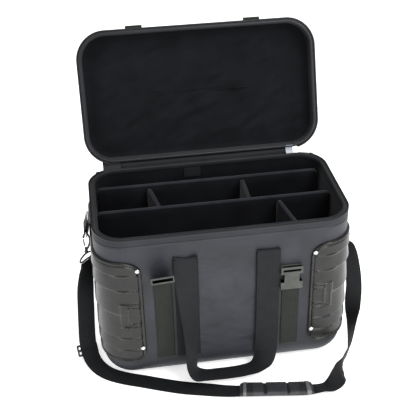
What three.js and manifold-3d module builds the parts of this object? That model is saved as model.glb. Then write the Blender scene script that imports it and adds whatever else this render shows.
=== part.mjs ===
// A zip-lidded carry case for miniatures, with padded dividers, moulded end guards,
// webbing handles, side-release buckle straps and a clip-on shoulder strap.
//
// Units are millimetres. +X is to the right, +Y to the back and +Z up. The origin is the centre of
// the base, on the surface that the case stands on. The lid stands open, as it is left for use.
import * as THREE from "three";
import { mergeVertices } from "three/addons/utils/BufferGeometryUtils.js";
import Module from "manifold-3d";

const wasm = await Module();
wasm.setup();

// ---------------------------------------------------------------- driving dimensions
const CASE_WIDTH = 540;
const CASE_DEPTH = 298;
const CASE_HEIGHT = 373;
const PLAN_RADIUS = 66;
const BASE_RADIUS = 48;
const LID_HEIGHT = 50;
const LID_EDGE_RADIUS = 24;
const GAP = 0.4;

const FOAM = 8;
const LINING = 4;
const RIM_WIDTH = 13;
const TEETH_HEIGHT = 4;
const TAPE_HEIGHT = 12;
const BINDING_HEIGHT = 8.6;

const LID_OPEN = THREE.MathUtils.degToRad(110.8);
const HINGE_Y = CASE_DEPTH / 2 + 1.4;
const HINGE_Z = CASE_HEIGHT + 5.8;
const HINGE_HALF_LENGTH = 203;

const GUARD_EDGE_X = 178;
const GUARD_BOTTOM = 55;
const GUARD_TOP = 320;
const GUARD_WALL = 3.2;
const GUARD_GAP = 0.8;
const RIVET_X = 186;
const RIVET_HEIGHTS = [297.5, 91.5];
const RIVET_RADIUS = 5;

const HANDLE_X = 86;
const HANDLE_WEB = 50;
const HANDLE_FOLD_Z = 318;
const HANDLE_SEWN_BOTTOM = 54;
const WEB_THICKNESS = 2.4;

const BUCKLE_X = 135.5;
const BUCKLE_WEB = 38;
const BUCKLE_WIDTH = 47;
const BUCKLE_BOTTOM = 216;
const BUCKLE_TOP = 272;
const BUCKLE_DEPTH = 12;
// The left socket has flopped forward on its webbing, so its pivot, lean and twist are its own.
const LOOSE_SOCKET = { pivotY: -CASE_DEPTH / 2 - 7.5, pivotZ: 279, aside: 4, lean: 54, twist: 3 };
const LOOSE_WEB_TOP = 272;
const TAIL_PIVOT_Y = -CASE_DEPTH / 2 - 6;
const TAIL_PIVOT_Z = CASE_HEIGHT + 51;
const TAIL_OFFSET = 2;
const TAIL_WEB_LENGTH = 92;
const MALE_LENGTH = 52;

const DIVIDER_WALL = 9;
const DIVIDER_TOP = 350;
const REAR_DIVIDER_Y = 99;
const FRONT_DIVIDER_Y = 0;
const CROSS_DIVIDERS = [
  { name: "cross_divider_left", x: -129, skew: 8 },
  { name: "cross_divider_right", x: 76, skew: 0 },
];
const FRONT_CROSS = { name: "cross_divider_front", x: 150, skew: 12 };

const STRAP_WIDTH = 38;
const STRAP_THICKNESS = 2;
const SIDE_TAB_TOP = 345;
const SIDE_TAB_BOTTOM = 316;
const RING_X = CASE_WIDTH / 2 + 13.5;
const RING_BOTTOM = 295.5;
const RING_WIRE = 1.6;
const HOOK_LEAN = THREE.MathUtils.degToRad(6);
const HOOK_TURN = THREE.MathUtils.degToRad(-35);
const LOOP_TURN = THREE.MathUtils.degToRad(50);
const PAD_START_X = 10;
const PAD_END_X = 171;
const PAD_WIDTH = 43;

const LID_SPLIT = CASE_HEIGHT + GAP;
const HALF_WIDTH = CASE_WIDTH / 2;
const HALF_DEPTH = CASE_DEPTH / 2;

// ---------------------------------------------------------------- materials
const finish = (color, roughness, metalness = 0) =>
  new THREE.MeshStandardMaterial({ color, roughness, metalness });
const MATERIALS = {
  cloth: finish(0x45474b, 0.85),
  binding: finish(0x3a3c40, 0.8),
  tape: finish(0x33353a, 0.85),
  velour: finish(0x17181c, 0.95),
  guard: finish(0x4a4a48, 0.45),
  webbing: finish(0x2b2d2f, 0.8),
  plastic: finish(0x5a5c58, 0.5),
  strap: finish(0x1b1d1f, 0.8),
  rubber: finish(0x37383c, 0.7),
  steel: finish(0xd0d0d0, 0.25, 1),
  blackMetal: finish(0x17181a, 0.35, 1),
};

// ---------------------------------------------------------------- solids from rings of points
const vec = (x, y, z) => new THREE.Vector3(x, y, z);

const middleOf = (ring) => ring.reduce((sum, p) => sum.add(p), vec(0, 0, 0)).divideScalar(ring.length);

// Joins equal rings of points into one closed body. A looped body joins its last ring to its first,
// and any other gets a fan over each end, from a hub that sees the whole end.
function solidFromRings(rings, looped = false, hubs = [middleOf(rings[0]), middleOf(rings.at(-1))]) {
  const count = rings[0].length;
  const positions = rings.flat().flatMap((p) => [p.x, p.y, p.z]);
  const index = [];
  const spans = looped ? rings.length : rings.length - 1;
  for (let r = 0; r < spans; r += 1) {
    const a = r * count;
    const b = ((r + 1) % rings.length) * count;
    for (let k = 0; k < count; k += 1) {
      const n = (k + 1) % count;
      index.push(a + k, a + n, b + n, a + k, b + n, b + k);
    }
  }
  if (!looped) {
    const lastRing = (rings.length - 1) * count;
    for (const [point, first, turned] of [[hubs[0], 0, true], [hubs[1], lastRing, false]]) {
      const hub = positions.length / 3;
      positions.push(point.x, point.y, point.z);
      for (let k = 0; k < count; k += 1) {
        const n = (k + 1) % count;
        index.push(hub, first + (turned ? n : k), first + (turned ? k : n));
      }
    }
  }
  const geometry = new THREE.BufferGeometry();
  geometry.setAttribute("position", new THREE.Float32BufferAttribute(positions, 3));
  geometry.setIndex(index);
  return outward(geometry);
}

// Turns every face round when the body is inside out, which its signed volume shows.
function outward(geometry) {
  const p = geometry.attributes.position;
  const index = geometry.index.array;
  const [a, b, c] = [vec(0, 0, 0), vec(0, 0, 0), vec(0, 0, 0)];
  let volume = 0;
  for (let i = 0; i < index.length; i += 3) {
    a.fromBufferAttribute(p, index[i]);
    b.fromBufferAttribute(p, index[i + 1]);
    c.fromBufferAttribute(p, index[i + 2]);
    volume += a.dot(b.cross(c));
  }
  if (volume < 0) {
    for (let i = 0; i < index.length; i += 3) {
      [index[i], index[i + 1]] = [index[i + 1], index[i]];
    }
  }
  return geometry;
}

function toManifold(geometry) {
  const bare = geometry.clone();
  bare.deleteAttribute("normal");
  bare.deleteAttribute("uv");
  const merged = mergeVertices(bare, 1e-4);
  return new wasm.Manifold(new wasm.Mesh({
    numProp: 3,
    vertProperties: new Float32Array(merged.attributes.position.array),
    triVerts: new Uint32Array(merged.index.array),
  }));
}

function fromManifold(solid) {
  const mesh = solid.getMesh();
  const geometry = new THREE.BufferGeometry();
  geometry.setAttribute("position", new THREE.Float32BufferAttribute(mesh.vertProperties, 3));
  geometry.setIndex([...mesh.triVerts]);
  return geometry;
}

const joined = (...parts) => fromManifold(parts.map(toManifold).reduce((a, b) => a.add(b)));
const cut = (whole, ...tools) =>
  fromManifold(tools.map(toManifold).reduce((a, b) => a.subtract(b), toManifold(whole)));

// A box given by its lowest and highest corners.
function block(low, high) {
  const size = high.map((v, k) => v - low[k]);
  const middle = high.map((v, k) => (v + low[k]) / 2);
  return new THREE.BoxGeometry(...size).translate(...middle);
}

// ---------------------------------------------------------------- the plan outline of the case
const CORNER_STEPS = 5;

// The points of the rounded plan outline, drawn in by an inset, anticlockwise from the middle
// of the back.
function planOutline(inset) {
  const radius = Math.max(PLAN_RADIUS - inset, 1);
  const x = HALF_WIDTH - inset - radius;
  const y = HALF_DEPTH - inset - radius;
  const points = [[0, y + radius]];
  for (const [sx, sy, start] of [[-1, 1, 90], [-1, -1, 180], [1, -1, 270], [1, 1, 0]]) {
    if (sx === 1 && sy === -1) points.push([0, -y - radius]);
    for (let k = 0; k <= CORNER_STEPS; k += 1) {
      const angle = THREE.MathUtils.degToRad(start + (90 * k) / CORNER_STEPS);
      points.push([sx * x + radius * Math.cos(angle), sy * y + radius * Math.sin(angle)]);
    }
  }
  return points;
}

const ringAt = (inset, z) => planOutline(inset).map(([x, y]) => vec(x, y, z));

// A tub or tray: a profile of [inset, z] pairs from the middle of one face to the middle of the other.
const tray = (profile) => solidFromRings(profile.map(([inset, z]) => ringAt(inset, z)));

// A hoop that runs round the whole outline with a closed section of [inset, z] pairs.
const hoop = (section) => solidFromRings(section.map(([inset, z]) => ringAt(inset, z)), true);

// A quarter round from a flat face into an upright wall, as [inset, z] pairs.
function quarter(radius, inset, z, turn, steps = 4) {
  return Array.from({ length: steps + 1 }, (_, k) => {
    const a = (Math.PI / 2) * (k / steps);
    return [inset + radius * (1 - Math.sin(a)), z + turn * radius * (1 - Math.cos(a))];
  });
}

const STRAIGHT_HALF = HALF_WIDTH - PLAN_RADIUS;
const STRAIGHT_SIDE = CASE_DEPTH - 2 * PLAN_RADIUS;
const CORNER_ARC = (Math.PI / 2) * PLAN_RADIUS;
const OUTLINE_HALF = 2 * STRAIGHT_HALF + 2 * CORNER_ARC + STRAIGHT_SIDE;

// The distances round one half of the outline at which its corners bend.
const CORNER_DISTANCES = [STRAIGHT_HALF, STRAIGHT_HALF + CORNER_ARC + STRAIGHT_SIDE].flatMap((start) =>
  Array.from({ length: CORNER_STEPS + 1 }, (_, k) => start + (CORNER_ARC * k) / CORNER_STEPS));

// The point and outward direction of the outline at a distance from the middle of the back,
// towards the left for a positive distance.
function outlineAt(distance) {
  const sign = Math.sign(distance) || 1;
  let s = Math.abs(distance);
  if (s < STRAIGHT_HALF) return [-sign * s, HALF_DEPTH, 0, 1];
  s -= STRAIGHT_HALF;
  if (s < CORNER_ARC) {
    const a = s / PLAN_RADIUS;
    const cy = HALF_DEPTH - PLAN_RADIUS;
    return [-sign * (STRAIGHT_HALF + PLAN_RADIUS * Math.sin(a)), cy + PLAN_RADIUS * Math.cos(a),
      -sign * Math.sin(a), Math.cos(a)];
  }
  s -= CORNER_ARC;
  if (s < STRAIGHT_SIDE) return [-sign * HALF_WIDTH, HALF_DEPTH - PLAN_RADIUS - s, -sign, 0];
  s -= STRAIGHT_SIDE;
  if (s < CORNER_ARC) {
    const a = s / PLAN_RADIUS;
    const cy = PLAN_RADIUS - HALF_DEPTH;
    return [-sign * (STRAIGHT_HALF + PLAN_RADIUS * Math.cos(a)), cy - PLAN_RADIUS * Math.sin(a),
      -sign * Math.cos(a), -Math.sin(a)];
  }
  return [-sign * (STRAIGHT_HALF - (s - CORNER_ARC)), -HALF_DEPTH, 0, -1];
}

// A strip along the outline whose section is a list of [outward, z] pairs. The hub is a pair inside the
// section that sees all of it.
function stripAlong(stations, section, hub) {
  const place = ([x, y, nx, ny], [out, z]) => vec(x + nx * out, y + ny * out, z);
  const rings = stations.map((station) => section.map((pair) => place(station, pair)));
  return solidFromRings(rings, false, [place(stations[0], hub), place(stations.at(-1), hub)]);
}

// ---------------------------------------------------------------- body and lid
function bodyShell() {
  return tray([
    ...quarter(BASE_RADIUS, 0, 0, 1),
    [0, CASE_HEIGHT - 22],
    [1, CASE_HEIGHT - 17.5],
    [2.8, CASE_HEIGHT - 16.8],
    [2.8, CASE_HEIGHT - 9.6],
    [FOAM, CASE_HEIGHT - 9.6],
    ...quarter(BASE_RADIUS - FOAM, FOAM, FOAM, 1).reverse(),
  ]);
}

function bodyLining() {
  const outer = FOAM + GAP;
  const inner = outer + LINING - GAP;
  return tray([
    ...quarter(BASE_RADIUS - outer, outer, outer, 1),
    [outer, CASE_HEIGHT - 9.6],
    [inner, CASE_HEIGHT - 9.6],
    ...quarter(BASE_RADIUS - inner, inner, inner, 1).reverse(),
  ]);
}

// The stiff board that the bags and trays stand on, over the lining's flat floor.
function baseBoard() {
  const low = FOAM + LINING + GAP;
  return tray([[BASE_RADIUS + 4, low], [BASE_RADIUS + 2, low + 3]]);
}

function rimBinding(split, turn) {
  const low = split - turn * GAP;
  const high = split - turn * BINDING_HEIGHT;
  return hoop([
    [4, low - turn * 1.5], [5.5, low], [RIM_WIDTH - 2, low], [RIM_WIDTH, low - turn * 2.5],
    [RIM_WIDTH, high], [4, high],
  ]);
}

// The zip runs round the ends and the front, between the two ends of the fabric hinge.
const ZIP_END = HINGE_HALF_LENGTH + 16;
function zipStations() {
  const middle = OUTLINE_HALF - 0.01;
  const half = [ZIP_END, ...CORNER_DISTANCES.filter((s) => s > ZIP_END + 1), middle];
  const right = half.slice(0, -1).reverse().map((s) => -s);
  return [...half, ...right].map(outlineAt);
}

// One half of the zip: its woven tape, with the row of teeth along the edge that meets the other half.
function zipHalf(split, turn) {
  const toothRoot = split - turn * TEETH_HEIGHT;
  const tapeEdge = toothRoot - turn * TAPE_HEIGHT;
  const section = [
    [0.3, split], [0.3, toothRoot], [0, toothRoot], [0, tapeEdge],
    [-2.3, tapeEdge], [-2.3, toothRoot], [-3.4, toothRoot], [-3.4, split],
  ];
  return stripAlong(zipStations(), section, [-1.4, (split + toothRoot) / 2]);
}

function lidShell() {
  const top = LID_SPLIT + LID_HEIGHT;
  return tray([
    ...quarter(LID_EDGE_RADIUS, 0, top, -1),
    [0, LID_SPLIT + 22],
    [1, LID_SPLIT + 17.5],
    [2.8, LID_SPLIT + 16.8],
    [2.8, LID_SPLIT + 9.6],
    [FOAM, LID_SPLIT + 9.6],
    ...quarter(LID_EDGE_RADIUS - FOAM, FOAM, top - FOAM, -1).reverse(),
  ]);
}

function lidLining() {
  const outer = FOAM + GAP;
  const inner = outer + LINING - GAP;
  const top = LID_SPLIT + LID_HEIGHT;
  return tray([
    ...quarter(LID_EDGE_RADIUS - outer, outer, top - outer, -1),
    [outer, LID_SPLIT + 9.6],
    [inner, LID_SPLIT + 9.6],
    ...quarter(LID_EDGE_RADIUS - inner, inner, top - inner, -1).reverse(),
  ]);
}

// A flat band from one x to another that follows a line of [y, z] points and has its thickness to one
// side of the line.
function bandAlong(left, right, line, thickness) {
  return solidFromRings(line.map(([y, z], k) => {
    const before = line[Math.max(k - 1, 0)];
    const after = line[Math.min(k + 1, line.length - 1)];
    const along = new THREE.Vector2(after[0] - before[0], after[1] - before[1]).normalize();
    const [farY, farZ] = [y + along.y * thickness, z - along.x * thickness];
    return [vec(left, y, z), vec(right, y, z), vec(right, farY, farZ), vec(left, farY, farZ)];
  }));
}

// A point of the closed lid, given by its y and z, once the lid has been opened.
function opened(y, z, angle = LID_OPEN) {
  const dy = y - HINGE_Y;
  const dz = z - HINGE_Z;
  const [c, s] = [Math.cos(angle), Math.sin(angle)];
  return [HINGE_Y + dy * c + dz * s, HINGE_Z - dy * s + dz * c];
}

// The fabric hinge, sewn to the back of the body and to the back of the lid.
function hingePanel() {
  const wall = HALF_DEPTH + GAP;
  const line = [
    [wall, CASE_HEIGHT - 34], [wall, CASE_HEIGHT - 12], [wall, CASE_HEIGHT - 2],
    opened(wall, CASE_HEIGHT + 9), opened(wall, CASE_HEIGHT + 20), opened(wall, CASE_HEIGHT + 34),
  ];
  return bandAlong(-HINGE_HALF_LENGTH, HINGE_HALF_LENGTH, line, 1);
}

const SLIDER_AT = ZIP_END + 31;

// Places a piece drawn at the origin, facing -Y, against the outline at a distance round it.
function againstOutline(geometry, distance, z) {
  const [x, y, nx, ny] = outlineAt(distance);
  return geometry.rotateZ(Math.atan2(ny, nx) + Math.PI / 2).translate(x, y, z);
}

function zipSlider(side) {
  const plate = block([-4.5, -3.2, -7.5], [4.5, -0.9, 4]);
  const bridge = block([-1.2, -5.6, -3], [1.2, -3, 3]);
  return againstOutline(joined(plate, bridge), side * SLIDER_AT, CASE_HEIGHT - 5);
}

function zipPull(side) {
  const shape = new THREE.Shape();
  shape.moveTo(-3, 1.5);
  shape.lineTo(-4.2, -24);
  shape.absarc(0, -24, 4.2, Math.PI, 2 * Math.PI);
  shape.lineTo(3, 1.5);
  const hole = new THREE.Path();
  hole.absarc(0, -23, 1.8, 0, 2 * Math.PI);
  shape.holes.push(hole);
  const plate = new THREE.ExtrudeGeometry(shape, { depth: 1.6, bevelEnabled: false, curveSegments: 3 });
  plate.rotateX(Math.PI / 2).translate(0, -6.2, -5);
  return againstOutline(plate, side * SLIDER_AT, CASE_HEIGHT - 5);
}

// A plain sewn-in label that hangs inside the back wall.
function careLabel() {
  const y = HALF_DEPTH - RIM_WIDTH;
  return block([-51, y - 1.6, CASE_HEIGHT - 34], [-13, y - 0.8, CASE_HEIGHT - 10]);
}

// ---------------------------------------------------------------- end guards and rivets
const GUARD_FRONT_CORNER = 42;

// The lowest and highest z of a guard, at a distance in from its front or back edge.
function guardSpan(inward) {
  const t = Math.min(inward / GUARD_FRONT_CORNER, 1);
  const drop = 1 - Math.sqrt(1 - (1 - t) ** 2);
  const low = Math.min(inward / 26, 1);
  const rise = 1 - Math.sqrt(1 - (1 - low) ** 2);
  return [GUARD_BOTTOM + 26 * rise, GUARD_TOP - 34 * drop];
}

// One moulded guard wraps an end of the case, from the front wall round to the back wall.
function endGuard(side) {
  const total = OUTLINE_HALF - 2 * GUARD_EDGE_X;
  const corner = CORNER_DISTANCES.slice(0, CORNER_STEPS + 1).map((s) => s - GUARD_EDGE_X);
  const inwards = [0, 2, 7, 15, ...corner, GUARD_FRONT_CORNER].sort((a, b) => a - b);
  const along = [...inwards, ...inwards.map((s) => total - s).reverse()];
  const rings = along.map((s) => {
    const [x, y, nx, ny] = outlineAt(side * (GUARD_EDGE_X + s));
    const [low, high] = guardSpan(Math.min(s, total - s));
    const levels = Array.from({ length: 7 }, (_, k) => low + ((high - low) * k) / 6);
    const face = GUARD_GAP + GUARD_WALL;
    const inner = levels.map((z) => vec(x + nx * GUARD_GAP, y + ny * GUARD_GAP, z));
    const outer = levels.map((z) => vec(x + nx * face, y + ny * face, z));
    return [...inner, ...outer.reverse()];
  });
  return solidFromRings(rings);
}

// A domed rivet head that faces the front (face -1) or the back (face 1).
function rivet(x, z, face) {
  const profile = [[0, 0], [RIVET_RADIUS, 0], [RIVET_RADIUS, 0.8], [RIVET_RADIUS * 0.7, 2.3], [0, 2.9]];
  const head = new THREE.LatheGeometry(profile.map(([r, h]) => new THREE.Vector2(r, h)), 8);
  if (face < 0) head.rotateZ(Math.PI);
  return head.translate(x, face * (HALF_DEPTH + GUARD_GAP + GUARD_WALL + GAP), z);
}

// ---------------------------------------------------------------- webbing
// A flat strap along stations, each with a centre, a direction across its width and its face.
function webbing(stations, width, thickness) {
  const chamfer = thickness * 0.3;
  const w = width / 2;
  const t = thickness / 2;
  const underside = [-w + chamfer, -w / 3, w / 3, w - chamfer].map((u) => [u, -t]);
  const topside = underside.map(([u]) => [-u, t]);
  const section = [
    [-w, -t + chamfer], ...underside, [w, -t + chamfer], [w, t - chamfer], ...topside, [-w, t - chamfer],
  ];
  const rings = stations.map(({ centre, across, face }) => section.map(([u, v]) =>
    centre.clone().addScaledVector(across, u).addScaledVector(face, v)));
  return solidFromRings(rings);
}

// Stations along a smooth curve through points of [x, y, z, across x, across y, across z]. A ribbon of
// the given width is lifted wherever its edge would sink into the floor.
function ribbonStations(route, count, width = 0) {
  const curve = new THREE.CatmullRomCurve3(route.map(([x, y, z]) => vec(x, y, z)), false, "centripetal");
  const turns = new THREE.CatmullRomCurve3(route.map((p) => vec(p[3], p[4], p[5])), false, "catmullrom", 0.3);
  return Array.from({ length: count + 1 }, (_, k) => {
    const t = k / count;
    const centre = curve.getPoint(t);
    const along = curve.getTangent(t);
    const across = turns.getPoint(t);
    across.addScaledVector(along, -across.dot(along)).normalize();
    centre.z = Math.max(centre.z, (width / 2) * Math.abs(across.z) + 1.4);
    return { centre, across, face: new THREE.Vector3().crossVectors(across, along).normalize() };
  });
}

// The sewn lower layer of a handle leg, on the front (face -1) or back (face 1) wall.
function handleLeg(x, face) {
  const y = face * (HALF_DEPTH + GAP + WEB_THICKNESS / 2);
  const reach = HANDLE_WEB / 2;
  const half = WEB_THICKNESS / 2;
  return block([x - reach, y - half, HANDLE_SEWN_BOTTOM], [x + reach, y + half, HANDLE_FOLD_Z - 4]);
}

// The route of a hanging handle loop, from its fold at the top of the right leg to the middle of the
// grip, as x, distance out from the wall, z, and the direction across the webbing.
const HANDLE_ROUTE = [
  [86, 5.4, 317, 1, 0, 0],
  [86, 6.0, 270, 1, 0, 0],
  [85.5, 6.6, 210, 1, 0, 0],
  [85, 7.2, 150, 1, 0, 0],
  [84, 8.5, 97, 1, 0.03, 0],
  [82, 11.5, 58, 0.97, 0.2, 0.05],
  [75, 17, 32, 0.8, 0.55, 0.2],
  [58, 25, 19.2, 0.4, 0.88, 0.25],
  [30, 29, 15.6, 0.12, 0.96, 0.25],
  [0, 30.5, 15.2, 0, 0.97, 0.25],
];

// The other half, from the grip up to the left leg's fold: its outer edge swings away from the wall.
const TWISTED_ROUTE = [
  [-30, 30.5, 15.4, -0.1, 0.96, 0.25],
  [-56, 30.5, 17.5, -0.25, 0.93, 0.27],
  [-75, 30.5, 27, -0.42, 0.88, 0.22],
  [-83.5, 29, 55, -0.52, 0.85, 0.1],
  [-83.5, 26, 97, -0.57, 0.82, 0.02],
  [-83, 21, 150, -0.7, 0.71, 0],
  [-84, 14.5, 210, -0.92, 0.38, 0],
  [-87.5, 7.5, 270, -1, 0.06, 0],
  [-88, 5.4, 317, -1, 0, 0],
];

function handleLoop(face) {
  const route = [...HANDLE_ROUTE, ...TWISTED_ROUTE].map(([x, out, z, ax, ao, az]) =>
    [x, face * (HALF_DEPTH + out), z, ax, face * ao, az]);
  return webbing(ribbonStations(route, 28, HANDLE_WEB), HANDLE_WEB, WEB_THICKNESS);
}

// The strap below a front buckle, sewn down the front wall.
function buckleWebbing(side) {
  const x = side * BUCKLE_X;
  const y = -(HALF_DEPTH + GAP + WEB_THICKNESS / 2);
  const reach = BUCKLE_WEB / 2;
  const half = WEB_THICKNESS / 2;
  const top = side < 0 ? LOOSE_WEB_TOP : BUCKLE_BOTTOM - 1;
  return block([x - reach, y - half, HANDLE_SEWN_BOTTOM], [x + reach, y + half, top]);
}

// The socket half of a side-release buckle: a flat sleeve, open at its mouth, with side windows.
function buckleSocket(side) {
  const x = side * BUCKLE_X;
  const back = -(HALF_DEPTH + GAP + 0.5);
  const half = BUCKLE_WIDTH / 2;
  const body = block([x - half, back - BUCKLE_DEPTH, BUCKLE_BOTTOM], [x + half, back, BUCKLE_TOP]);
  const mouth = block(
    [x - half + 3, back - BUCKLE_DEPTH + 3, BUCKLE_BOTTOM + 16],
    [x + half - 3, back - 3, BUCKLE_TOP + 1],
  );
  const windows = [-1, 1].map((s) => {
    const inner = x + s * (half - 7.5);
    const outer = x + s * (half + 1);
    const low = [Math.min(inner, outer), back - BUCKLE_DEPTH - 1, BUCKLE_BOTTOM + 18];
    return block(low, [Math.max(inner, outer), back + 1, BUCKLE_TOP - 17]);
  });
  const slot = block(
    [x - half + 4.5, back - BUCKLE_DEPTH - 1, BUCKLE_TOP - 11.5],
    [x + half - 4.5, back - BUCKLE_DEPTH + 3.5, BUCKLE_TOP - 5.5],
  );
  const socket = cut(body, mouth, slot, ...windows);
  if (side > 0) return socket;
  const { pivotY, pivotZ, aside, lean, twist } = LOOSE_SOCKET;
  return socket.translate(-x, -back, -BUCKLE_BOTTOM)
    .rotateZ(THREE.MathUtils.degToRad(twist))
    .rotateX(THREE.MathUtils.degToRad(lean))
    .translate(x - aside, pivotY, pivotZ);
}

// ---------------------------------------------------------------- buckle tails on the lid
// The part of a tail that is sewn along the top of the lid, out to the tail's fold.
function tailAnchor(side) {
  const top = LID_SPLIT + LID_HEIGHT + GAP;
  const line = [[90, top], [27, top], [10, top - 0.2], [-2, top - 1.5]].map(([y, z]) => [y - HALF_DEPTH, z]);
  const x = side * BUCKLE_X;
  return bandAlong(x - BUCKLE_WEB / 2, x + BUCKLE_WEB / 2, line, WEB_THICKNESS);
}

// A tail hangs from its fold: webbing, then the plug half of the buckle. Drawn hanging from z = 0,
// just behind the fold.
function tailWebbing() {
  const reach = BUCKLE_WEB / 2;
  const half = WEB_THICKNESS / 2;
  return block([-reach, TAIL_OFFSET - half, -TAIL_WEB_LENGTH], [reach, TAIL_OFFSET + half, -3]);
}

function bucklePlug() {
  const top = -TAIL_WEB_LENGTH - 1;
  const shape = new THREE.Shape();
  const half = BUCKLE_WIDTH / 2 - 3.6;
  shape.moveTo(-BUCKLE_WIDTH / 2 + 1, top);
  shape.lineTo(BUCKLE_WIDTH / 2 - 1, top);
  shape.lineTo(BUCKLE_WIDTH / 2 - 1, top - 20);
  shape.lineTo(half, top - 22);
  shape.lineTo(half, top - MALE_LENGTH + 8);
  shape.lineTo(half - 4, top - MALE_LENGTH);
  shape.lineTo(half - 7, top - MALE_LENGTH + 3);
  shape.lineTo(half - 7, top - 24);
  shape.lineTo(3, top - 24);
  shape.lineTo(3, top - MALE_LENGTH + 6);
  shape.lineTo(-3, top - MALE_LENGTH + 6);
  shape.lineTo(-3, top - 24);
  shape.lineTo(-half + 7, top - 24);
  shape.lineTo(-half + 7, top - MALE_LENGTH + 3);
  shape.lineTo(-half + 4, top - MALE_LENGTH);
  shape.lineTo(-half, top - MALE_LENGTH + 8);
  shape.lineTo(-half, top - 22);
  shape.lineTo(-BUCKLE_WIDTH / 2 + 1, top - 20);
  const plate = new THREE.ExtrudeGeometry(shape, { depth: 5, bevelEnabled: false });
  return plate.translate(0, 0, -2.5).rotateX(Math.PI / 2).translate(0, TAIL_OFFSET, 0);
}

// ---------------------------------------------------------------- dividers
const DIVIDER_FLOOR = FOAM + LINING + GAP + 3.6;
const DIVIDER_REACH = HALF_WIDTH - FOAM - LINING - 1.2;

// The outline of a divider that fits the lining: straight sides, with the tub's rounded lower corners.
function dividerShape(halfLength, radius, top) {
  const shape = new THREE.Shape();
  shape.moveTo(-halfLength + radius, DIVIDER_FLOOR);
  shape.lineTo(halfLength - radius, DIVIDER_FLOOR);
  shape.absarc(halfLength - radius, DIVIDER_FLOOR + radius, radius, -Math.PI / 2, 0);
  shape.lineTo(halfLength, top - 8);
  shape.absarc(halfLength - 8, top - 8, 8, 0, Math.PI / 2);
  shape.lineTo(-halfLength + 8, top);
  shape.absarc(-halfLength + 8, top - 8, 8, Math.PI / 2, Math.PI);
  shape.lineTo(-halfLength, DIVIDER_FLOOR + radius);
  shape.absarc(-halfLength + radius, DIVIDER_FLOOR + radius, radius, Math.PI, 1.5 * Math.PI);
  return new THREE.ExtrudeGeometry(shape, { depth: DIVIDER_WALL, bevelEnabled: false, curveSegments: 3 })
    .rotateX(Math.PI / 2).translate(0, DIVIDER_WALL / 2, 0);
}

function longDivider(y) {
  const half = y > HALF_DEPTH - PLAN_RADIUS ? DIVIDER_REACH - 5 : DIVIDER_REACH;
  return dividerShape(half, 34, DIVIDER_TOP).translate(0, y, 0);
}

// A cross divider stands between two walls, its own length turned along y.
function crossDivider(x, from, to, skew, radius) {
  const half = (to - from) / 2;
  const turn = Math.atan2(skew, half);
  const length = half / Math.cos(turn) - DIVIDER_WALL * Math.abs(Math.tan(turn));
  return dividerShape(length, radius, DIVIDER_TOP - 5).rotateZ(Math.PI / 2 + turn).translate(x, (from + to) / 2, 0);
}

// ---------------------------------------------------------------- shoulder strap and its fittings
// The strap's route, from the left hook down to the floor, along the front and up to the right hook,
// as x, y, z and the direction across its width.
const STRAP_ROUTE = [
  [-290, 0, 228, 0.64, 0.77, 0],
  [-290.5, -0.5, 217, 0.68, 0.73, 0],
  [-295, -3, 195, 0.8, 0.6, 0],
  [-300, -6, 150, 0.97, 0.25, 0],
  [-303, -12, 105, 1, 0.05, 0],
  [-306, -24, 62, 1, 0.08, 0],
  [-307, -43, 28, 0.99, 0.12, 0],
  [-301, -70, 10, 0.95, 0.3, 0],
  [-288, -97, 3.5, 0.84, 0.54, 0],
  [-266, -122, 1.5, 0.72, 0.69, 0],
  [-232, -143, 1.5, 0.5, 0.87, 0],
  [-192, -160, 1.5, 0.4, 0.92, 0],
  [-148, -179, 1.5, 0.38, 0.92, 0],
  [-104, -196, 1.5, 0.33, 0.94, 0],
  [-58, -209, 1.5, 0.28, 0.96, 0],
  [-16, -222, 3, 0.2, 0.97, -0.08],
  [24, -231, 4.8, 0.13, 0.96, -0.16],
  [90, -241, 5, 0.13, 0.96, -0.18],
  [156, -250, 5, 0.12, 0.96, -0.18],
  [190, -252, 8, 0.08, 0.95, -0.3],
  [209, -250, 9, -0.3, 0.94, -0.05],
  [227, -236, 11.5, -0.65, 0.7, 0.25],
  [239, -214, 16.5, -0.42, 0.3, 0.85],
  [250, -197, 20.8, 0.02, 0, 1],
  [262, -176, 20.8, 0.15, -0.08, 0.985],
  [274, -160, 20.8, 0.17, -0.09, 0.98],
  [285, -138, 20.5, 0.2, -0.1, 0.97],
  [295, -112, 23, 0.3, -0.15, 0.93],
  [307, -77, 36, 0.5, -0.2, 0.8],
  [316, -46, 62, 0.85, -0.25, 0.35],
  [323, -22, 100, 1, 0, 0],
  [317, -9, 150, 1, -0.05, 0],
  [304, -3, 195, 0.9, -0.4, 0],
  [291, -0.5, 217, 0.68, -0.73, 0],
  [290, 0, 228, 0.64, -0.77, 0],
];
const STRAP_STEPS = 64;
const GLIDE_STEP = 12;

const strapStations = (steps) => ribbonStations(STRAP_ROUTE, steps, STRAP_WIDTH);
const shoulderStrap = () => webbing(strapStations(STRAP_STEPS), STRAP_WIDTH, STRAP_THICKNESS);

// The strap's second layer, which comes back from the hook's loop to the slider behind the first.
function strapFoldBack() {
  const layer = strapStations(STRAP_STEPS).slice(0, GLIDE_STEP);
  for (const { centre, face } of layer) centre.addScaledVector(face, -STRAP_THICKNESS - 1.8);
  return webbing(layer, STRAP_WIDTH - 1, STRAP_THICKNESS);
}

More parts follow.
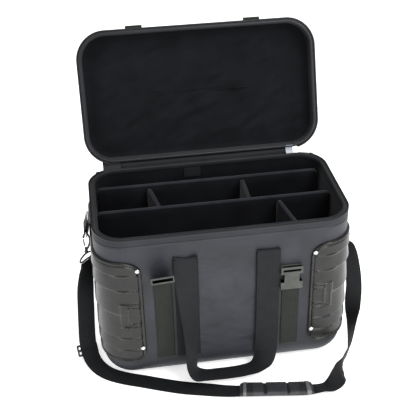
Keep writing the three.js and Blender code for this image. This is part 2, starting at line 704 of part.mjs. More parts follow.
// The three-bar slider that sets the strap's length, lying on the strap's outer face.
function triGlide() {
  const shape = new THREE.Shape();
  const [halfWidth, halfHeight, corner] = [23.5, 13.5, 3];
  shape.moveTo(-halfWidth + corner, -halfHeight);
  shape.lineTo(halfWidth - corner, -halfHeight);
  shape.absarc(halfWidth - corner, -halfHeight + corner, corner, -Math.PI / 2, 0);
  shape.absarc(halfWidth - corner, halfHeight - corner, corner, 0, Math.PI / 2);
  shape.absarc(-halfWidth + corner, halfHeight - corner, corner, Math.PI / 2, Math.PI);
  shape.absarc(-halfWidth + corner, -halfHeight + corner, corner, Math.PI, 1.5 * Math.PI);
  for (const at of [-5.8, 5.8]) {
    const slot = new THREE.Path();
    slot.moveTo(-19.5, at - 3);
    slot.lineTo(-19.5, at + 3);
    slot.lineTo(19.5, at + 3);
    slot.lineTo(19.5, at - 3);
    shape.holes.push(slot);
  }
  const plate = new THREE.ExtrudeGeometry(shape, { depth: 3, bevelEnabled: false, curveSegments: 4 });
  const { centre, across, face } = strapStations(STRAP_STEPS)[GLIDE_STEP];
  const along = new THREE.Vector3().crossVectors(face, across);
  plate.translate(-3, 0, STRAP_THICKNESS / 2 + 1.2);
  plate.applyMatrix4(new THREE.Matrix4().makeBasis(across, along, face));
  return plate.translate(centre.x, centre.y, centre.z);
}

// The moulded shoulder grip lies over the strap where the strap crosses the floor.
function shoulderPad() {
  const stations = strapStations(STRAP_STEPS * 4)
    .filter(({ centre }) => centre.x > PAD_START_X && centre.x < PAD_END_X && centre.y < -200)
    .filter((_, k) => k % 3 === 0);
  const half = PAD_WIDTH / 2;
  const low = STRAP_THICKNESS / 2 + 0.6;
  const section = [
    [-half, low], [-half, low + 6.5], [-half + 3, low + 9], [half - 3, low + 9], [half, low + 6.5], [half, low],
  ];
  return solidFromRings(stations.map(({ centre, across, face }) => section.map(([u, v]) =>
    centre.clone().addScaledVector(across, u).addScaledVector(face, Math.sign(face.z) * v))));
}

// A bent round bar through points, as a sweep of a small regular section.
function bentBar(points, radius, closed = false, sides = 6) {
  const curve = new THREE.CatmullRomCurve3(points.map((p) => vec(...p)), closed, "centripetal");
  const steps = points.length * 2;
  const frames = curve.computeFrenetFrames(steps, closed);
  const rings = Array.from({ length: closed ? steps : steps + 1 }, (_, k) => {
    const centre = curve.getPointAt(k / steps);
    return Array.from({ length: sides }, (__, j) => {
      const a = (2 * Math.PI * j) / sides;
      return centre.clone().addScaledVector(frames.normals[k], radius * Math.cos(a))
        .addScaledVector(frames.binormals[k], radius * Math.sin(a));
    });
  });
  return solidFromRings(rings, closed);
}

// The webbing tab that holds a side ring, on the left (side -1) or right (side 1) wall.
function sideTab(side) {
  const ends = [side * (RING_X - 6), side * (RING_X + 2.5)];
  const reach = STRAP_WIDTH / 2;
  return block([Math.min(...ends), -reach, SIDE_TAB_BOTTOM], [Math.max(...ends), reach, SIDE_TAB_TOP]);
}

// The D-shaped ring below a side tab, in the plane of the side wall.
function sideRing(side) {
  const x = side * RING_X;
  const top = SIDE_TAB_BOTTOM - RING_WIRE - 3 * GAP;
  const points = [
    [x, -18, top], [x, 0, top], [x, 18, top], [x, 20, top - 3.5],
    [x, 15, top - 12], [x, 0, RING_BOTTOM], [x, -15, top - 12], [x, -20, top - 3.5],
  ];
  return bentBar(points, RING_WIRE, true);
}

// The snap hook hangs from the ring: a drop-shaped hook with a gap for its gate, on a barrel. It is
// drawn round the ring's lowest point, turned about its own length and leant out from the wall.
function hangOnSide(geometry, side, turn) {
  return geometry.rotateZ(turn * -side).rotateY(side * -HOOK_LEAN).translate(side * RING_X, 0, RING_BOTTOM);
}

function snapHook(side) {
  const drop = [[3.5, -32], [7, -22], [8.2, -11], [6.2, -1], [0, 5], [-6.2, -1], [-8, -9]];
  const hook = bentBar(drop.map(([x, z]) => [x, 0, z]), 2);
  const barrel = new THREE.CylinderGeometry(3.6, 4.2, 13, 8).rotateX(Math.PI / 2).translate(0, 0, -38.5);
  return hangOnSide(joined(hook, barrel), side, HOOK_TURN);
}

function snapGate(side) {
  return hangOnSide(bentBar([[-7.6, 0, -13.5], [-6.4, 0, -21], [-4.6, 0, -29]], 1.5), side, HOOK_TURN);
}

// The flat loop under the hook's barrel, which the strap folds through.
function swivelLoop(side) {
  const half = [[0, -63.5], [17, -63.5], [21, -60], [19.5, -54.5], [9, -48.5]];
  const right = half.slice(1).map(([x, z]) => [x, 0, z]);
  const left = half.slice(1).reverse().map(([x, z]) => [-x, 0, z]);
  const loop = bentBar([[0, 0, -63.5], ...right, [0, 0, -47.6], ...left], 1.8, true);
  return hangOnSide(loop, side, LOOP_TURN);
}

// ---------------------------------------------------------------- assembly
const carryCase = new THREE.Group();
const lid = new THREE.Group();
lid.rotation.x = -LID_OPEN;
lid.position.set(0, HINGE_Y, HINGE_Z);
carryCase.add(lid);

// The lid's pieces are drawn in place on the closed case and move with this group about the hinge.
const lidPieces = new THREE.Group();
lidPieces.position.set(0, -HINGE_Y, -HINGE_Z);
lid.add(lidPieces);

function add(group, name, geometry, material) {
  const mesh = new THREE.Mesh(geometry, material);
  mesh.name = name;
  group.add(mesh);
  return mesh;
}

const SIDES = [["left", -1], ["right", 1]];
const FACES = [["front", -1], ["rear", 1]];
const towardsLeft = (side) => -side;

add(carryCase, "body_shell", bodyShell(), MATERIALS.cloth);
add(carryCase, "body_lining", bodyLining(), MATERIALS.velour);
add(carryCase, "base_board", baseBoard(), MATERIALS.velour);
add(carryCase, "body_rim_binding", rimBinding(CASE_HEIGHT, 1), MATERIALS.binding);
add(carryCase, "body_zip", zipHalf(CASE_HEIGHT, 1), MATERIALS.tape);
add(carryCase, "hinge_panel", hingePanel(), MATERIALS.cloth);
add(carryCase, "care_label", careLabel(), MATERIALS.tape);

add(lidPieces, "lid_shell", lidShell(), MATERIALS.cloth);
add(lidPieces, "lid_lining", lidLining(), MATERIALS.velour);
add(lidPieces, "lid_rim_binding", rimBinding(LID_SPLIT, -1), MATERIALS.binding);
add(lidPieces, "lid_zip", zipHalf(LID_SPLIT, -1), MATERIALS.tape);

for (const [word, side] of SIDES) {
  add(carryCase, `end_guard_${word}`, endGuard(towardsLeft(side)), MATERIALS.guard);
  add(carryCase, `zip_slider_${word}`, zipSlider(towardsLeft(side)), MATERIALS.blackMetal);
  add(carryCase, `zip_pull_${word}`, zipPull(towardsLeft(side)), MATERIALS.blackMetal);
  add(carryCase, `side_tab_${word}`, sideTab(side), MATERIALS.webbing);
  add(carryCase, `side_ring_${word}`, sideRing(side), MATERIALS.steel);
  add(carryCase, `snap_hook_${word}`, snapHook(side), MATERIALS.blackMetal);
  add(carryCase, `snap_gate_${word}`, snapGate(side), MATERIALS.blackMetal);
  add(carryCase, `swivel_loop_${word}`, swivelLoop(side), MATERIALS.blackMetal);
  add(carryCase, `buckle_webbing_${word}`, buckleWebbing(side), MATERIALS.webbing);
  add(carryCase, `buckle_socket_${word}`, buckleSocket(side), MATERIALS.plastic);
  add(lidPieces, `tail_anchor_${word}`, tailAnchor(side), MATERIALS.webbing);
  const tail = new THREE.Group();
  const [tailY, tailZ] = opened(TAIL_PIVOT_Y, TAIL_PIVOT_Z);
  tail.position.set(side * BUCKLE_X, tailY, tailZ);
  carryCase.add(tail);
  add(tail, `tail_webbing_${word}`, tailWebbing(), MATERIALS.webbing);
  add(tail, `buckle_plug_${word}`, bucklePlug(), MATERIALS.plastic);
}

for (const [word, face] of FACES) {
  add(carryCase, `${word}_handle_leg_left`, handleLeg(-HANDLE_X, face), MATERIALS.webbing);
  add(carryCase, `${word}_handle_leg_right`, handleLeg(HANDLE_X, face), MATERIALS.webbing);
  add(carryCase, `${word}_handle_loop`, handleLoop(face), MATERIALS.webbing);
  for (const [sideWord, side] of SIDES) {
    for (const [k, z] of RIVET_HEIGHTS.entries()) {
      const level = k === 0 ? "upper" : "lower";
      add(carryCase, `rivet_${word}_${sideWord}_${level}`, rivet(side * RIVET_X, z, face), MATERIALS.steel);
    }
  }
}

add(carryCase, "long_divider_rear", longDivider(REAR_DIVIDER_Y), MATERIALS.velour);
add(carryCase, "long_divider_front", longDivider(FRONT_DIVIDER_Y), MATERIALS.velour);
const WALL_GAP = DIVIDER_WALL / 2 + 0.7;
for (const { name, x, skew } of CROSS_DIVIDERS) {
  const geometry = crossDivider(x, FRONT_DIVIDER_Y + WALL_GAP, REAR_DIVIDER_Y - WALL_GAP, skew, 12);
  add(carryCase, name, geometry, MATERIALS.velour);
}
const frontWall = -(HALF_DEPTH - FOAM - LINING - 1.2);
const frontCross = crossDivider(FRONT_CROSS.x, frontWall, FRONT_DIVIDER_Y - WALL_GAP, FRONT_CROSS.skew, 38);
add(carryCase, FRONT_CROSS.name, frontCross, MATERIALS.velour);

add(carryCase, "shoulder_strap", shoulderStrap(), MATERIALS.strap);
add(carryCase, "strap_fold_back", strapFoldBack(), MATERIALS.strap);
add(carryCase, "tri_glide", triGlide(), MATERIALS.blackMetal);
add(carryCase, "shoulder_pad", shoulderPad(), MATERIALS.rubber);

export default carryCase;
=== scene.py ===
import logging
import math
from dataclasses import dataclass
from enum import Enum

import bmesh
import bpy
import numpy as np
from bpy.types import Material, Node, NodeSocket, NodeTree, Object
from mathutils import Matrix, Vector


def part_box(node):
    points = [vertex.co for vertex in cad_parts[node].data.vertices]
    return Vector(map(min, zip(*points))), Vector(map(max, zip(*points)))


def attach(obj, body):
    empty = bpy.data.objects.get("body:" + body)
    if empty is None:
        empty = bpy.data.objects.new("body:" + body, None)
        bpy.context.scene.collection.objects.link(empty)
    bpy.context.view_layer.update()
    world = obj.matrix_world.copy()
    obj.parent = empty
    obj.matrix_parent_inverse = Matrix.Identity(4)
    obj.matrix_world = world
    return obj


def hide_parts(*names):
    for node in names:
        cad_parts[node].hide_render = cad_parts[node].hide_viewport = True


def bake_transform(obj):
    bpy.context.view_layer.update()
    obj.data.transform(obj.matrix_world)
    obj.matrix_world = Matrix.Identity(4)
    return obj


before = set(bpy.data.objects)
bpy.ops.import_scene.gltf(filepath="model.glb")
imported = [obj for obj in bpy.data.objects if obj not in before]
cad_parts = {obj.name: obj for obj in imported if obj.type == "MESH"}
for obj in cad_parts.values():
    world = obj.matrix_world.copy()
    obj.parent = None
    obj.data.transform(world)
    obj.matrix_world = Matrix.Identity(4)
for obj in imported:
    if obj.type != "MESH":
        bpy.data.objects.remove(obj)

LOG = logging.getLogger("carry_case")
MM = 0.001
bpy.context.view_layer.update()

CASE_WIDTH, CASE_DEPTH, CASE_HEIGHT = 540.0, 298.0, 373.0
PLAN_RADIUS, BASE_RADIUS, LID_HEIGHT, LID_EDGE_RADIUS = 66.0, 48.0, 50.0, 24.0
GAP, FOAM, LINING, RIM_WIDTH = 0.4, 8.0, 4.0, 13.0
HALF_WIDTH, HALF_DEPTH = CASE_WIDTH / 2, CASE_DEPTH / 2
LID_SPLIT = CASE_HEIGHT + GAP
LID_OPEN = math.radians(110.8)
HINGE_Y, HINGE_Z = HALF_DEPTH + 1.4, CASE_HEIGHT + 5.8
HINGE_HALF_LENGTH = 203.0
# Where the shell's wall steps in under the zip tape: inset, and distance short of the zip line.
FOAM_SHORT = 9.6
ZIP_STEP = ((0, 22), (0.4, 19), (1.4, 17.4), (2.8, 16.8), (2.8, FOAM_SHORT), (FOAM, FOAM_SHORT))
CRISP = 40.0
STRAIGHT_HALF = HALF_WIDTH - PLAN_RADIUS
STRAIGHT_SIDE = CASE_DEPTH - 2 * PLAN_RADIUS
CORNER_ARC = math.pi / 2 * PLAN_RADIUS
OUTLINE_HALF = 2 * STRAIGHT_HALF + 2 * CORNER_ARC + STRAIGHT_SIDE


class Side(Enum):
    """The left or right end of the case, as the sign of its x."""

    LEFT = -1
    RIGHT = 1

    @property
    def word(self) -> str:
        """The side's name as the nodes spell it."""
        return self.name.lower()


class Face(Enum):
    """The front or rear wall of the case, as the sign of its y."""

    FRONT = -1
    REAR = 1

    @property
    def word(self) -> str:
        """The wall's name as the nodes spell it."""
        return self.name.lower()


# ------------------------------------------------------------------------------ finishes
def linear(hex_code: str) -> tuple[float, float, float, float]:
    """Turns an sRGB hex value into linear light.

    Args:
        hex_code: Six hex digits, such as "45474b".

    Returns:
        Red, green, blue and an alpha of 1.
    """
    srgb = [int(hex_code[k:k + 2], 16) / 255 for k in (0, 2, 4)]
    return (*(c / 12.92 if c <= 0.04045 else ((c + 0.055) / 1.055) ** 2.4 for c in srgb), 1.0)


def add_node(tree: NodeTree, kind: str, inputs: dict | None = None, **settings) -> Node:
    """Adds one node to a material.

    Args:
        tree: The material's node tree.
        kind: The node's type name, such as "ShaderNodeTexNoise".
        inputs: Values or output sockets for the node's inputs, by name or number.
        settings: Properties of the node itself.

    Returns:
        The new node.
    """
    node = tree.nodes.new(kind)
    for key, value in settings.items():
        setattr(node, key, value)
    for key, value in (inputs or {}).items():
        if isinstance(value, NodeSocket):
            tree.links.new(value, node.inputs[key])
        else:
            node.inputs[key].default_value = value
    return node


def start_material(name: str) -> tuple[Material, NodeTree, Node]:
    """Makes an empty material with a Principled shader.

    Args:
        name: The material's name.

    Returns:
        The material, its node tree and the shader node.
    """
    material = bpy.data.materials.new(name)
    material.use_nodes = True
    tree = material.node_tree
    tree.nodes.clear()
    shader = add_node(tree, "ShaderNodeBsdfPrincipled")
    add_node(tree, "ShaderNodeOutputMaterial", {"Surface": shader.outputs[0]})
    return material, tree, shader


def set_sockets(shader: Node, values: dict) -> None:
    """Sets plain values on the shader's own sockets, by name."""
    for key, value in values.items():
        shader.inputs[key].default_value = value


def tone(tree: NodeTree, factor: NodeSocket, dark: str, light: str, low: float = 0.0,
         high: float = 1.0) -> NodeSocket:
    """Mixes two colours by a factor that is first stretched from low..high to 0..1.

    Args:
        tree: The material's node tree.
        factor: The socket that says how light the place is.
        dark: Hex value where the factor is low.
        light: Hex value where the factor is high.
        low: The factor that gives the dark colour.
        high: The factor that gives the light colour.

    Returns:
        The socket of the mixed colour.
    """
    ramp = add_node(tree, "ShaderNodeValToRGB", {0: factor})
    ramp.color_ramp.elements[0].position = low
    ramp.color_ramp.elements[1].position = high
    ramp.color_ramp.elements[0].color = linear(dark)
    ramp.color_ramp.elements[1].color = linear(light)
    return ramp.outputs[0]


def bump(tree: NodeTree, shader: Node, height: NodeSocket, depth_mm: float, strength: float = 1.0,
         under: NodeSocket | None = None) -> NodeSocket:
    """Gives the shader a bump of a real depth.

    Args:
        tree: The material's node tree.
        shader: The Principled node.
        height: The socket that says how high the place is, from 0 to 1.
        depth_mm: How high 1 stands, in millimetres.
        strength: How much of the bump shows.
        under: A coarser bump's normal, below this one.

    Returns:
        The bump's normal socket.
    """
    inputs = {"Height": height, "Distance": depth_mm * MM, "Strength": strength}
    if under is not None:
        inputs["Normal"] = under
    node = add_node(tree, "ShaderNodeBump", inputs)
    tree.links.new(node.outputs[0], shader.inputs["Normal"])
    return node.outputs[0]


def noise(tree: NodeTree, vector: NodeSocket, size_mm: float, detail: float = 2.0,
          roughness: float = 0.5) -> NodeSocket:
    """A noise whose blotches have a real size.

    Args:
        tree: The material's node tree.
        vector: The coordinates, in metres.
        size_mm: The blotch size in millimetres.
        detail: How many finer layers it has.
        roughness: How strong the finer layers are.

    Returns:
        The noise's factor socket.
    """
    return add_node(tree, "ShaderNodeTexNoise", {
        "Vector": vector, "Scale": 1 / (size_mm * MM), "Detail": detail, "Roughness": roughness}).outputs[0]


def math_node(tree: NodeTree, operation: str, *values) -> NodeSocket:
    """The result socket of one step of arithmetic, such as a sum or a product, on the values."""
    return add_node(tree, "ShaderNodeMath", dict(enumerate(values)), operation=operation).outputs[0]


def weighted(tree: NodeTree, first: NodeSocket, share: float, second: NodeSocket, rest: float) -> NodeSocket:
    """The sum of two sockets, each times its own share."""
    return math_node(tree, "ADD", math_node(tree, "MULTIPLY", first, share),
                     math_node(tree, "MULTIPLY", second, rest))


def ribs(tree: NodeTree, coordinate: NodeSocket, pitch_mm: float) -> NodeSocket:
    """Even ribs across one coordinate: half of one plus the sine of its turns.

    Args:
        tree: The material's node tree.
        coordinate: The coordinate, in metres.
        pitch_mm: The distance from rib to rib.

    Returns:
        A socket from 0 to 1.
    """
    turns = math_node(tree, "MULTIPLY", coordinate, 2 * math.pi / (pitch_mm * MM))
    return math_node(tree, "MULTIPLY_ADD", math_node(tree, "SINE", turns), 0.5, 0.5)


@dataclass(frozen=True)
class WovenCloth:
    """Coated polyester cloth, plain woven: matt, with a fine grid of threads and slow changes of
    tone where it was stretched over the foam. The grid is drawn coarser than the real one."""

    name: str
    dark: str
    light: str
    thread_mm: float = 1.5
    roughness: float = 0.62
    sheen: float = 0.12
    depth_mm: float = 0.22
    specular: float = 0.2

    def make(self) -> Material:
        """Builds the material on object coordinates."""
        material, tree, shader = start_material(self.name)
        place = add_node(tree, "ShaderNodeTexCoord").outputs["Object"]
        axes = add_node(tree, "ShaderNodeSeparateXYZ", {0: place})
        grid = [ribs(tree, axes.outputs[k], self.thread_mm) for k in range(3)]
        weave = math_node(tree, "MULTIPLY", math_node(tree, "ADD", math_node(
            tree, "ADD", grid[0], grid[1]), grid[2]), 1 / 3)
        slow = noise(tree, place, 60, 3)
        mixed = weighted(tree, slow, 0.75, weave, 0.35)
        tree.links.new(tone(tree, mixed, self.dark, self.light, 0.3, 0.8), shader.inputs["Base Color"])
        set_sockets(shader, {"Roughness": self.roughness, "Sheen Weight": self.sheen, "Sheen Roughness": 0.4,
                             "Specular IOR Level": self.specular})
        under = bump(tree, shader, noise(tree, place, 35, 2), 1.2, 0.25)
        bump(tree, shader, weave, self.depth_mm, 0.6, under)
        return material


@dataclass(frozen=True)
class FlatWebbing:
    """Flat woven webbing: cross ribs and lengthwise cords show as a fine herringbone, and the selvedge
    is darker. It follows the strap through the piece's own map, in metres along and across."""

    name: str
    dark: str
    light: str
    width_mm: float
    rib_mm: float = 2.6
    cord_mm: float = 4.6
    roughness: float = 0.68
    sheen: float = 0.2
    specular: float = 0.16

    def make(self) -> Material:
        """Builds the material on the piece's own map."""
        material, tree, shader = start_material(self.name)
        coords = add_node(tree, "ShaderNodeTexCoord")
        axes = add_node(tree, "ShaderNodeSeparateXYZ", {0: coords.outputs["UV"]})
        along, across = axes.outputs[0], axes.outputs[1]
        cords = ribs(tree, across, self.cord_mm)
        slant = math_node(tree, "MULTIPLY_ADD", cords, self.rib_mm * MM * 0.7, along)
        crossing = ribs(tree, slant, self.rib_mm)
        weave = math_node(tree, "MULTIPLY_ADD", crossing, 0.6, math_node(tree, "MULTIPLY", cords, 0.4))
        edge = math_node(tree, "MULTIPLY", math_node(tree, "ABSOLUTE", across), 2 / (self.width_mm * MM))
        selvedge = math_node(tree, "GREATER_THAN", edge, 0.93)
        worn = noise(tree, coords.outputs["Object"], 18, 3)
        mixed = weighted(tree, weave, 0.55, worn, 0.45)
        mixed = math_node(tree, "SUBTRACT", mixed, math_node(tree, "MULTIPLY", selvedge, 0.3))
        tree.links.new(tone(tree, mixed, self.dark, self.light, 0.15, 0.85), shader.inputs["Base Color"])
        set_sockets(shader, {"Roughness": self.roughness, "Sheen Weight": self.sheen, "Sheen Roughness": 0.35,
                             "Specular IOR Level": self.specular})
        bump(tree, shader, weave, 0.3, 0.7)
        return material


@dataclass(frozen=True)
class BrushedVelour:
    """Brushed loop lining: very dark and deep, with a soft sheen at a slant and patches where the
    pile lies another way."""

    name: str
    dark: str
    light: str
    sheen: float = 0.35
    patch_mm: float = 70

    def make(self) -> Material:
        """Builds the material on object coordinates."""
        material, tree, shader = start_material(self.name)
        place = add_node(tree, "ShaderNodeTexCoord").outputs["Object"]
        patches = noise(tree, place, self.patch_mm, 2, 0.6)
        pile = noise(tree, place, 2.2, 3, 0.65)
        mixed = weighted(tree, patches, 0.6, pile, 0.4)
        tree.links.new(tone(tree, mixed, self.dark, self.light, 0.35, 0.7), shader.inputs["Base Color"])
        set_sockets(shader, {"Roughness": 0.95, "Specular IOR Level": 0.15, "Sheen Weight": self.sheen,
                             "Sheen Roughness": 0.3})
        bump(tree, shader, pile, 0.35, 0.5)
        return material


@dataclass(frozen=True)
class MouldedPlastic:
    """Injection-moulded plastic with a fine spark texture: satin, with broad soft highlights and
    slightly shinier, paler high spots where hands and floors have rubbed it."""

    name: str
    dark: str
    light: str
    roughness: float = 0.36
    grain_mm: float = 0.9
    grain_depth_mm: float = 0.05
    specular: float = 0.5

    def make(self) -> Material:
        """Builds the material on object coordinates."""
        material, tree, shader = start_material(self.name)
        place = add_node(tree, "ShaderNodeTexCoord").outputs["Object"]
        grain = noise(tree, place, self.grain_mm, 2, 0.6)
        rubbed = noise(tree, place, 26, 4, 0.6)
        tree.links.new(tone(tree, rubbed, self.dark, self.light, 0.35, 0.7), shader.inputs["Base Color"])
        spread = add_node(tree, "ShaderNodeMapRange", {
            0: rubbed, 1: 0.3, 2: 0.7, 3: self.roughness + 0.06, 4: self.roughness - 0.05})
        tree.links.new(spread.outputs[0], shader.inputs["Roughness"])
        set_sockets(shader, {"Specular IOR Level": self.specular})
        bump(tree, shader, grain, self.grain_depth_mm, 0.5)
        return material


@dataclass(frozen=True)
class CastMetal:
    """Die-cast or drawn metal, plated bright or lacquered black, with faint scuffs in its gloss."""

    name: str
    dark: str
    light: str
    metallic: float
    roughness: float

    def make(self) -> Material:
        """Builds the material on object coordinates."""
        material, tree, shader = start_material(self.name)
        place = add_node(tree, "ShaderNodeTexCoord").outputs["Object"]
        scuffs = noise(tree, place, 3.5, 4, 0.7)
        tree.links.new(tone(tree, scuffs, self.dark, self.light, 0.3, 0.7), shader.inputs["Base Color"])
        spread = add_node(tree, "ShaderNodeMapRange", {
            0: scuffs, 1: 0.3, 2: 0.7, 3: self.roughness, 4: self.roughness + 0.12})
        tree.links.new(spread.outputs[0], shader.inputs["Roughness"])
        set_sockets(shader, {"Metallic": self.metallic})
        bump(tree, shader, scuffs, 0.03, 0.3)
        return material


FINISHES = {
    "case_cloth": WovenCloth("coated_polyester_cloth", "181a1e", "2b2d34", roughness=0.5, sheen=0.03,
                             specular=0.3),
    "binding": WovenCloth("grosgrain_binding", "0c0d10", "1b1d20", thread_mm=2.2, roughness=0.6, sheen=0.04,
                          depth_mm=0.35),
    "tape": WovenCloth("zip_tape", "1a1c1f", "2c2e33", thread_mm=1.8, roughness=0.7, sheen=0.05),
    "hinge": WovenCloth("hinge_cloth", "0e0f12", "1b1c20", thread_mm=2.0, sheen=0.03),
    # Painted highlight: the right zip end patch is pale grey where it catches the light; the left one, the
    # same kind of patch, takes the dark hinge cloth.
    "patch": WovenCloth("patch_cloth", "8a9097", "b4b9bf", thread_mm=1.8),
    "velour": BrushedVelour("brushed_loop_lining", "040507", "111216", sheen=0.09),
    "piping": BrushedVelour("divider_edge_velour", "131418", "222328", sheen=0.22),
    "guard": MouldedPlastic("satin_moulded_guard", "0c0c0b", "181816", roughness=0.28, specular=0.36),
    "handle": FlatWebbing("handle_webbing", "0c0d0f", "1e2023", 50, sheen=0.05),
    "belt": FlatWebbing("buckle_webbing", "141713", "262a25", 38, rib_mm=2.2, sheen=0.08),
    "strap": FlatWebbing("shoulder_webbing", "08090a", "16181a", 38, rib_mm=2.2, cord_mm=3.8, sheen=0.05),
    "thread": WovenCloth("bonded_thread", "141518", "25272b", thread_mm=0.8, sheen=0.05, depth_mm=0.05),
    "buckle": MouldedPlastic("acetal_buckle", "353733", "474a45", roughness=0.42, specular=0.3),
    # Painted shade: a dead black for the walls inside the buckle sockets, where only shade falls.
    "socket_painted_shade": MouldedPlastic("unlit_socket_inside", "020202", "050505", roughness=0.85, specular=0.08),
    "zip_teeth": MouldedPlastic("zip_coil", "08090a", "121315", roughness=0.35),
    "pad_dark": MouldedPlastic("pad_rubber_black", "0c0d0e", "17181a", roughness=0.62, grain_mm=1.6,
                               grain_depth_mm=0.15),
    "pad_mid": MouldedPlastic("pad_rubber_grey", "1c1d20", "2b2c30", roughness=0.6, grain_mm=1.6,
                              grain_depth_mm=0.15),
    "pad_light": MouldedPlastic("pad_rubber_pale", "4c4e51", "626467", roughness=0.55),
    "label": WovenCloth("label_satin", "101114", "1e2024", thread_mm=1.2, roughness=0.5, depth_mm=0.06),
    "black_metal": CastMetal("black_lacquered_casting", "0a0b0c", "141517", 0.2, 0.3),
    "bright_metal": CastMetal("nickel_plate", "b9bbbd", "e4e5e6", 1.0, 0.16),
}
_made: dict[str, Material] = {}


def material_of(key: str) -> Material:
    """The material of a finish, made once."""
    if key not in _made:
        _made[key] = FINISHES[key].make()
    return _made[key]


# ------------------------------------------------------------------------------ surfaces
def outline(inset: float, corner: int = 14, long_steps: int = 72, short_steps: int = 28) -> np.ndarray:
    """The rounded plan outline of the case, anticlockwise from the middle of the back: four straight
    runs and four quarter circles whose radius is the plan radius less the inset.

    Args:
        inset: How far inside the outer wall, in millimetres.
        corner: Steps in each corner.
        long_steps: Steps in each long side.
        short_steps: Steps in each end.

    Returns:
        Points of x and y, and their outward directions, as rows of four.
    """
    radius = max(PLAN_RADIUS - inset, 1.0)
    cx, cy = HALF_WIDTH - inset - radius, HALF_DEPTH - inset - radius
    rows = []
    half = np.linspace(0, 1, long_steps // 2, endpoint=False)[:, None]
    full = np.linspace(0, 1, long_steps, endpoint=False)[:, None]
    end = np.linspace(0, 1, short_steps, endpoint=False)[:, None]
    bends = ((-1, 1, 90), (-1, -1, 180), (1, -1, 270), (1, 1, 0))
    runs = ((half, 0.0, -1.0, 0, 1), (end, 1.0, -1.0, -1, 0), (full, -1.0, 1.0, 0, -1),
            (end, -1.0, 1.0, 1, 0))
    for (steps, first, last, nx, ny), (sx, sy, start) in zip(runs, bends):
        run = first + (last - first) * steps
        x = run * cx if ny else np.full_like(run, nx * (cx + radius))
        y = np.full_like(run, ny * (cy + radius)) if ny else run * cy
        rows.append(np.hstack([x, y, np.full_like(run, nx), np.full_like(run, ny)]))
        a = np.radians(start + 90 * np.linspace(0, 1, corner, endpoint=False))[:, None]
        rows.append(np.hstack([sx * cx + radius * np.cos(a), sy * cy + radius * np.sin(a), np.cos(a),
                               np.sin(a)]))
    back = 1 - half
    rows.append(np.hstack([back * cx, np.full_like(back, cy + radius), 0 * back, 1 + 0 * back]))
    return np.vstack(rows)


def outline_at(distance: np.ndarray) -> np.ndarray:
    """The outer outline at distances from the middle of the back, towards the left for a positive one.

    Args:
        distance: Distances round the outline, in millimetres.

    Returns:
        x, y and the outward direction, as rows of four.
    """
    distance = np.asarray(distance, float)
    sign = np.where(distance < 0, -1.0, 1.0)
    s = np.abs(distance)
    cy = HALF_DEPTH - PLAN_RADIUS
    a = np.clip((s - STRAIGHT_HALF) / PLAN_RADIUS, 0, math.pi / 2)
    b = np.clip((s - STRAIGHT_HALF - CORNER_ARC - STRAIGHT_SIDE) / PLAN_RADIUS, 0, math.pi / 2)
    down = np.clip(s - STRAIGHT_HALF - CORNER_ARC, 0, STRAIGHT_SIDE)
    run = np.clip(s, 0, STRAIGHT_HALF)
    front = np.clip(s - STRAIGHT_HALF - 2 * CORNER_ARC - STRAIGHT_SIDE, 0, STRAIGHT_HALF)
    turn = a + b
    x = run + PLAN_RADIUS * np.sin(a) - PLAN_RADIUS * (1 - np.cos(b)) - front
    y = cy + PLAN_RADIUS * np.cos(a) - down - PLAN_RADIUS * np.sin(b)
    return np.stack([-sign * x, y, -sign * np.sin(turn), np.cos(turn)], axis=-1)


def tray(profile: list[tuple[float, float]], **steps: int) -> np.ndarray:
    """Rings of the plan outline, one for each pair of inset and height.

    Args:
        profile: Pairs of inset and z.
        steps: Steps of the outline.

    Returns:
        An array of rings, points and x, y, z.
    """
    rings = []
    for inset, z in profile:
        flat = outline(inset, **steps)
        rings.append(np.column_stack([flat[:, :2], np.full(len(flat), z)]))
    return np.array(rings)


def quarter(radius: float, inset: float, z: float, turn: int, steps: int = 12) -> list[tuple[float, float]]:
    """A quarter round from a flat face into an upright wall, as pairs of inset and z."""
    angles = np.linspace(0, math.pi / 2, steps + 1)
    return [(inset + radius * (1 - math.sin(a)), z + turn * radius * (1 - math.cos(a))) for a in angles]


def levels(first: tuple[float, float], last: tuple[float, float], steps: int) -> list[tuple[float, float]]:
    """Even steps from one pair to another, both ends included."""
    return [tuple(p) for p in np.linspace(first, last, steps + 1)]


def zip_step(split: float, turn: int) -> list[tuple[float, float]]:
    """The shell's wall where it steps in under the zip tape and ends at the foam's edge.

    Args:
        split: The height of the zip line.
        turn: 1 for the body, whose wall comes up from below, and -1 for the lid.

    Returns:
        Pairs of inset and z, towards the zip line.
    """
    return [(inset, split - turn * short) for inset, short in ZIP_STEP]


def opened(points: np.ndarray) -> np.ndarray:
    """Turns points of the closed lid about the hinge line to where the lid stands open.

    Args:
        points: Points of the closed lid, with x, y, z last.

    Returns:
        The turned points.
    """
    dy, dz = points[..., 1] - HINGE_Y, points[..., 2] - HINGE_Z
    c, s = math.cos(LID_OPEN), math.sin(LID_OPEN)
    return np.stack([points[..., 0], HINGE_Y + dy * c + dz * s, HINGE_Z - dy * s + dz * c], axis=-1)


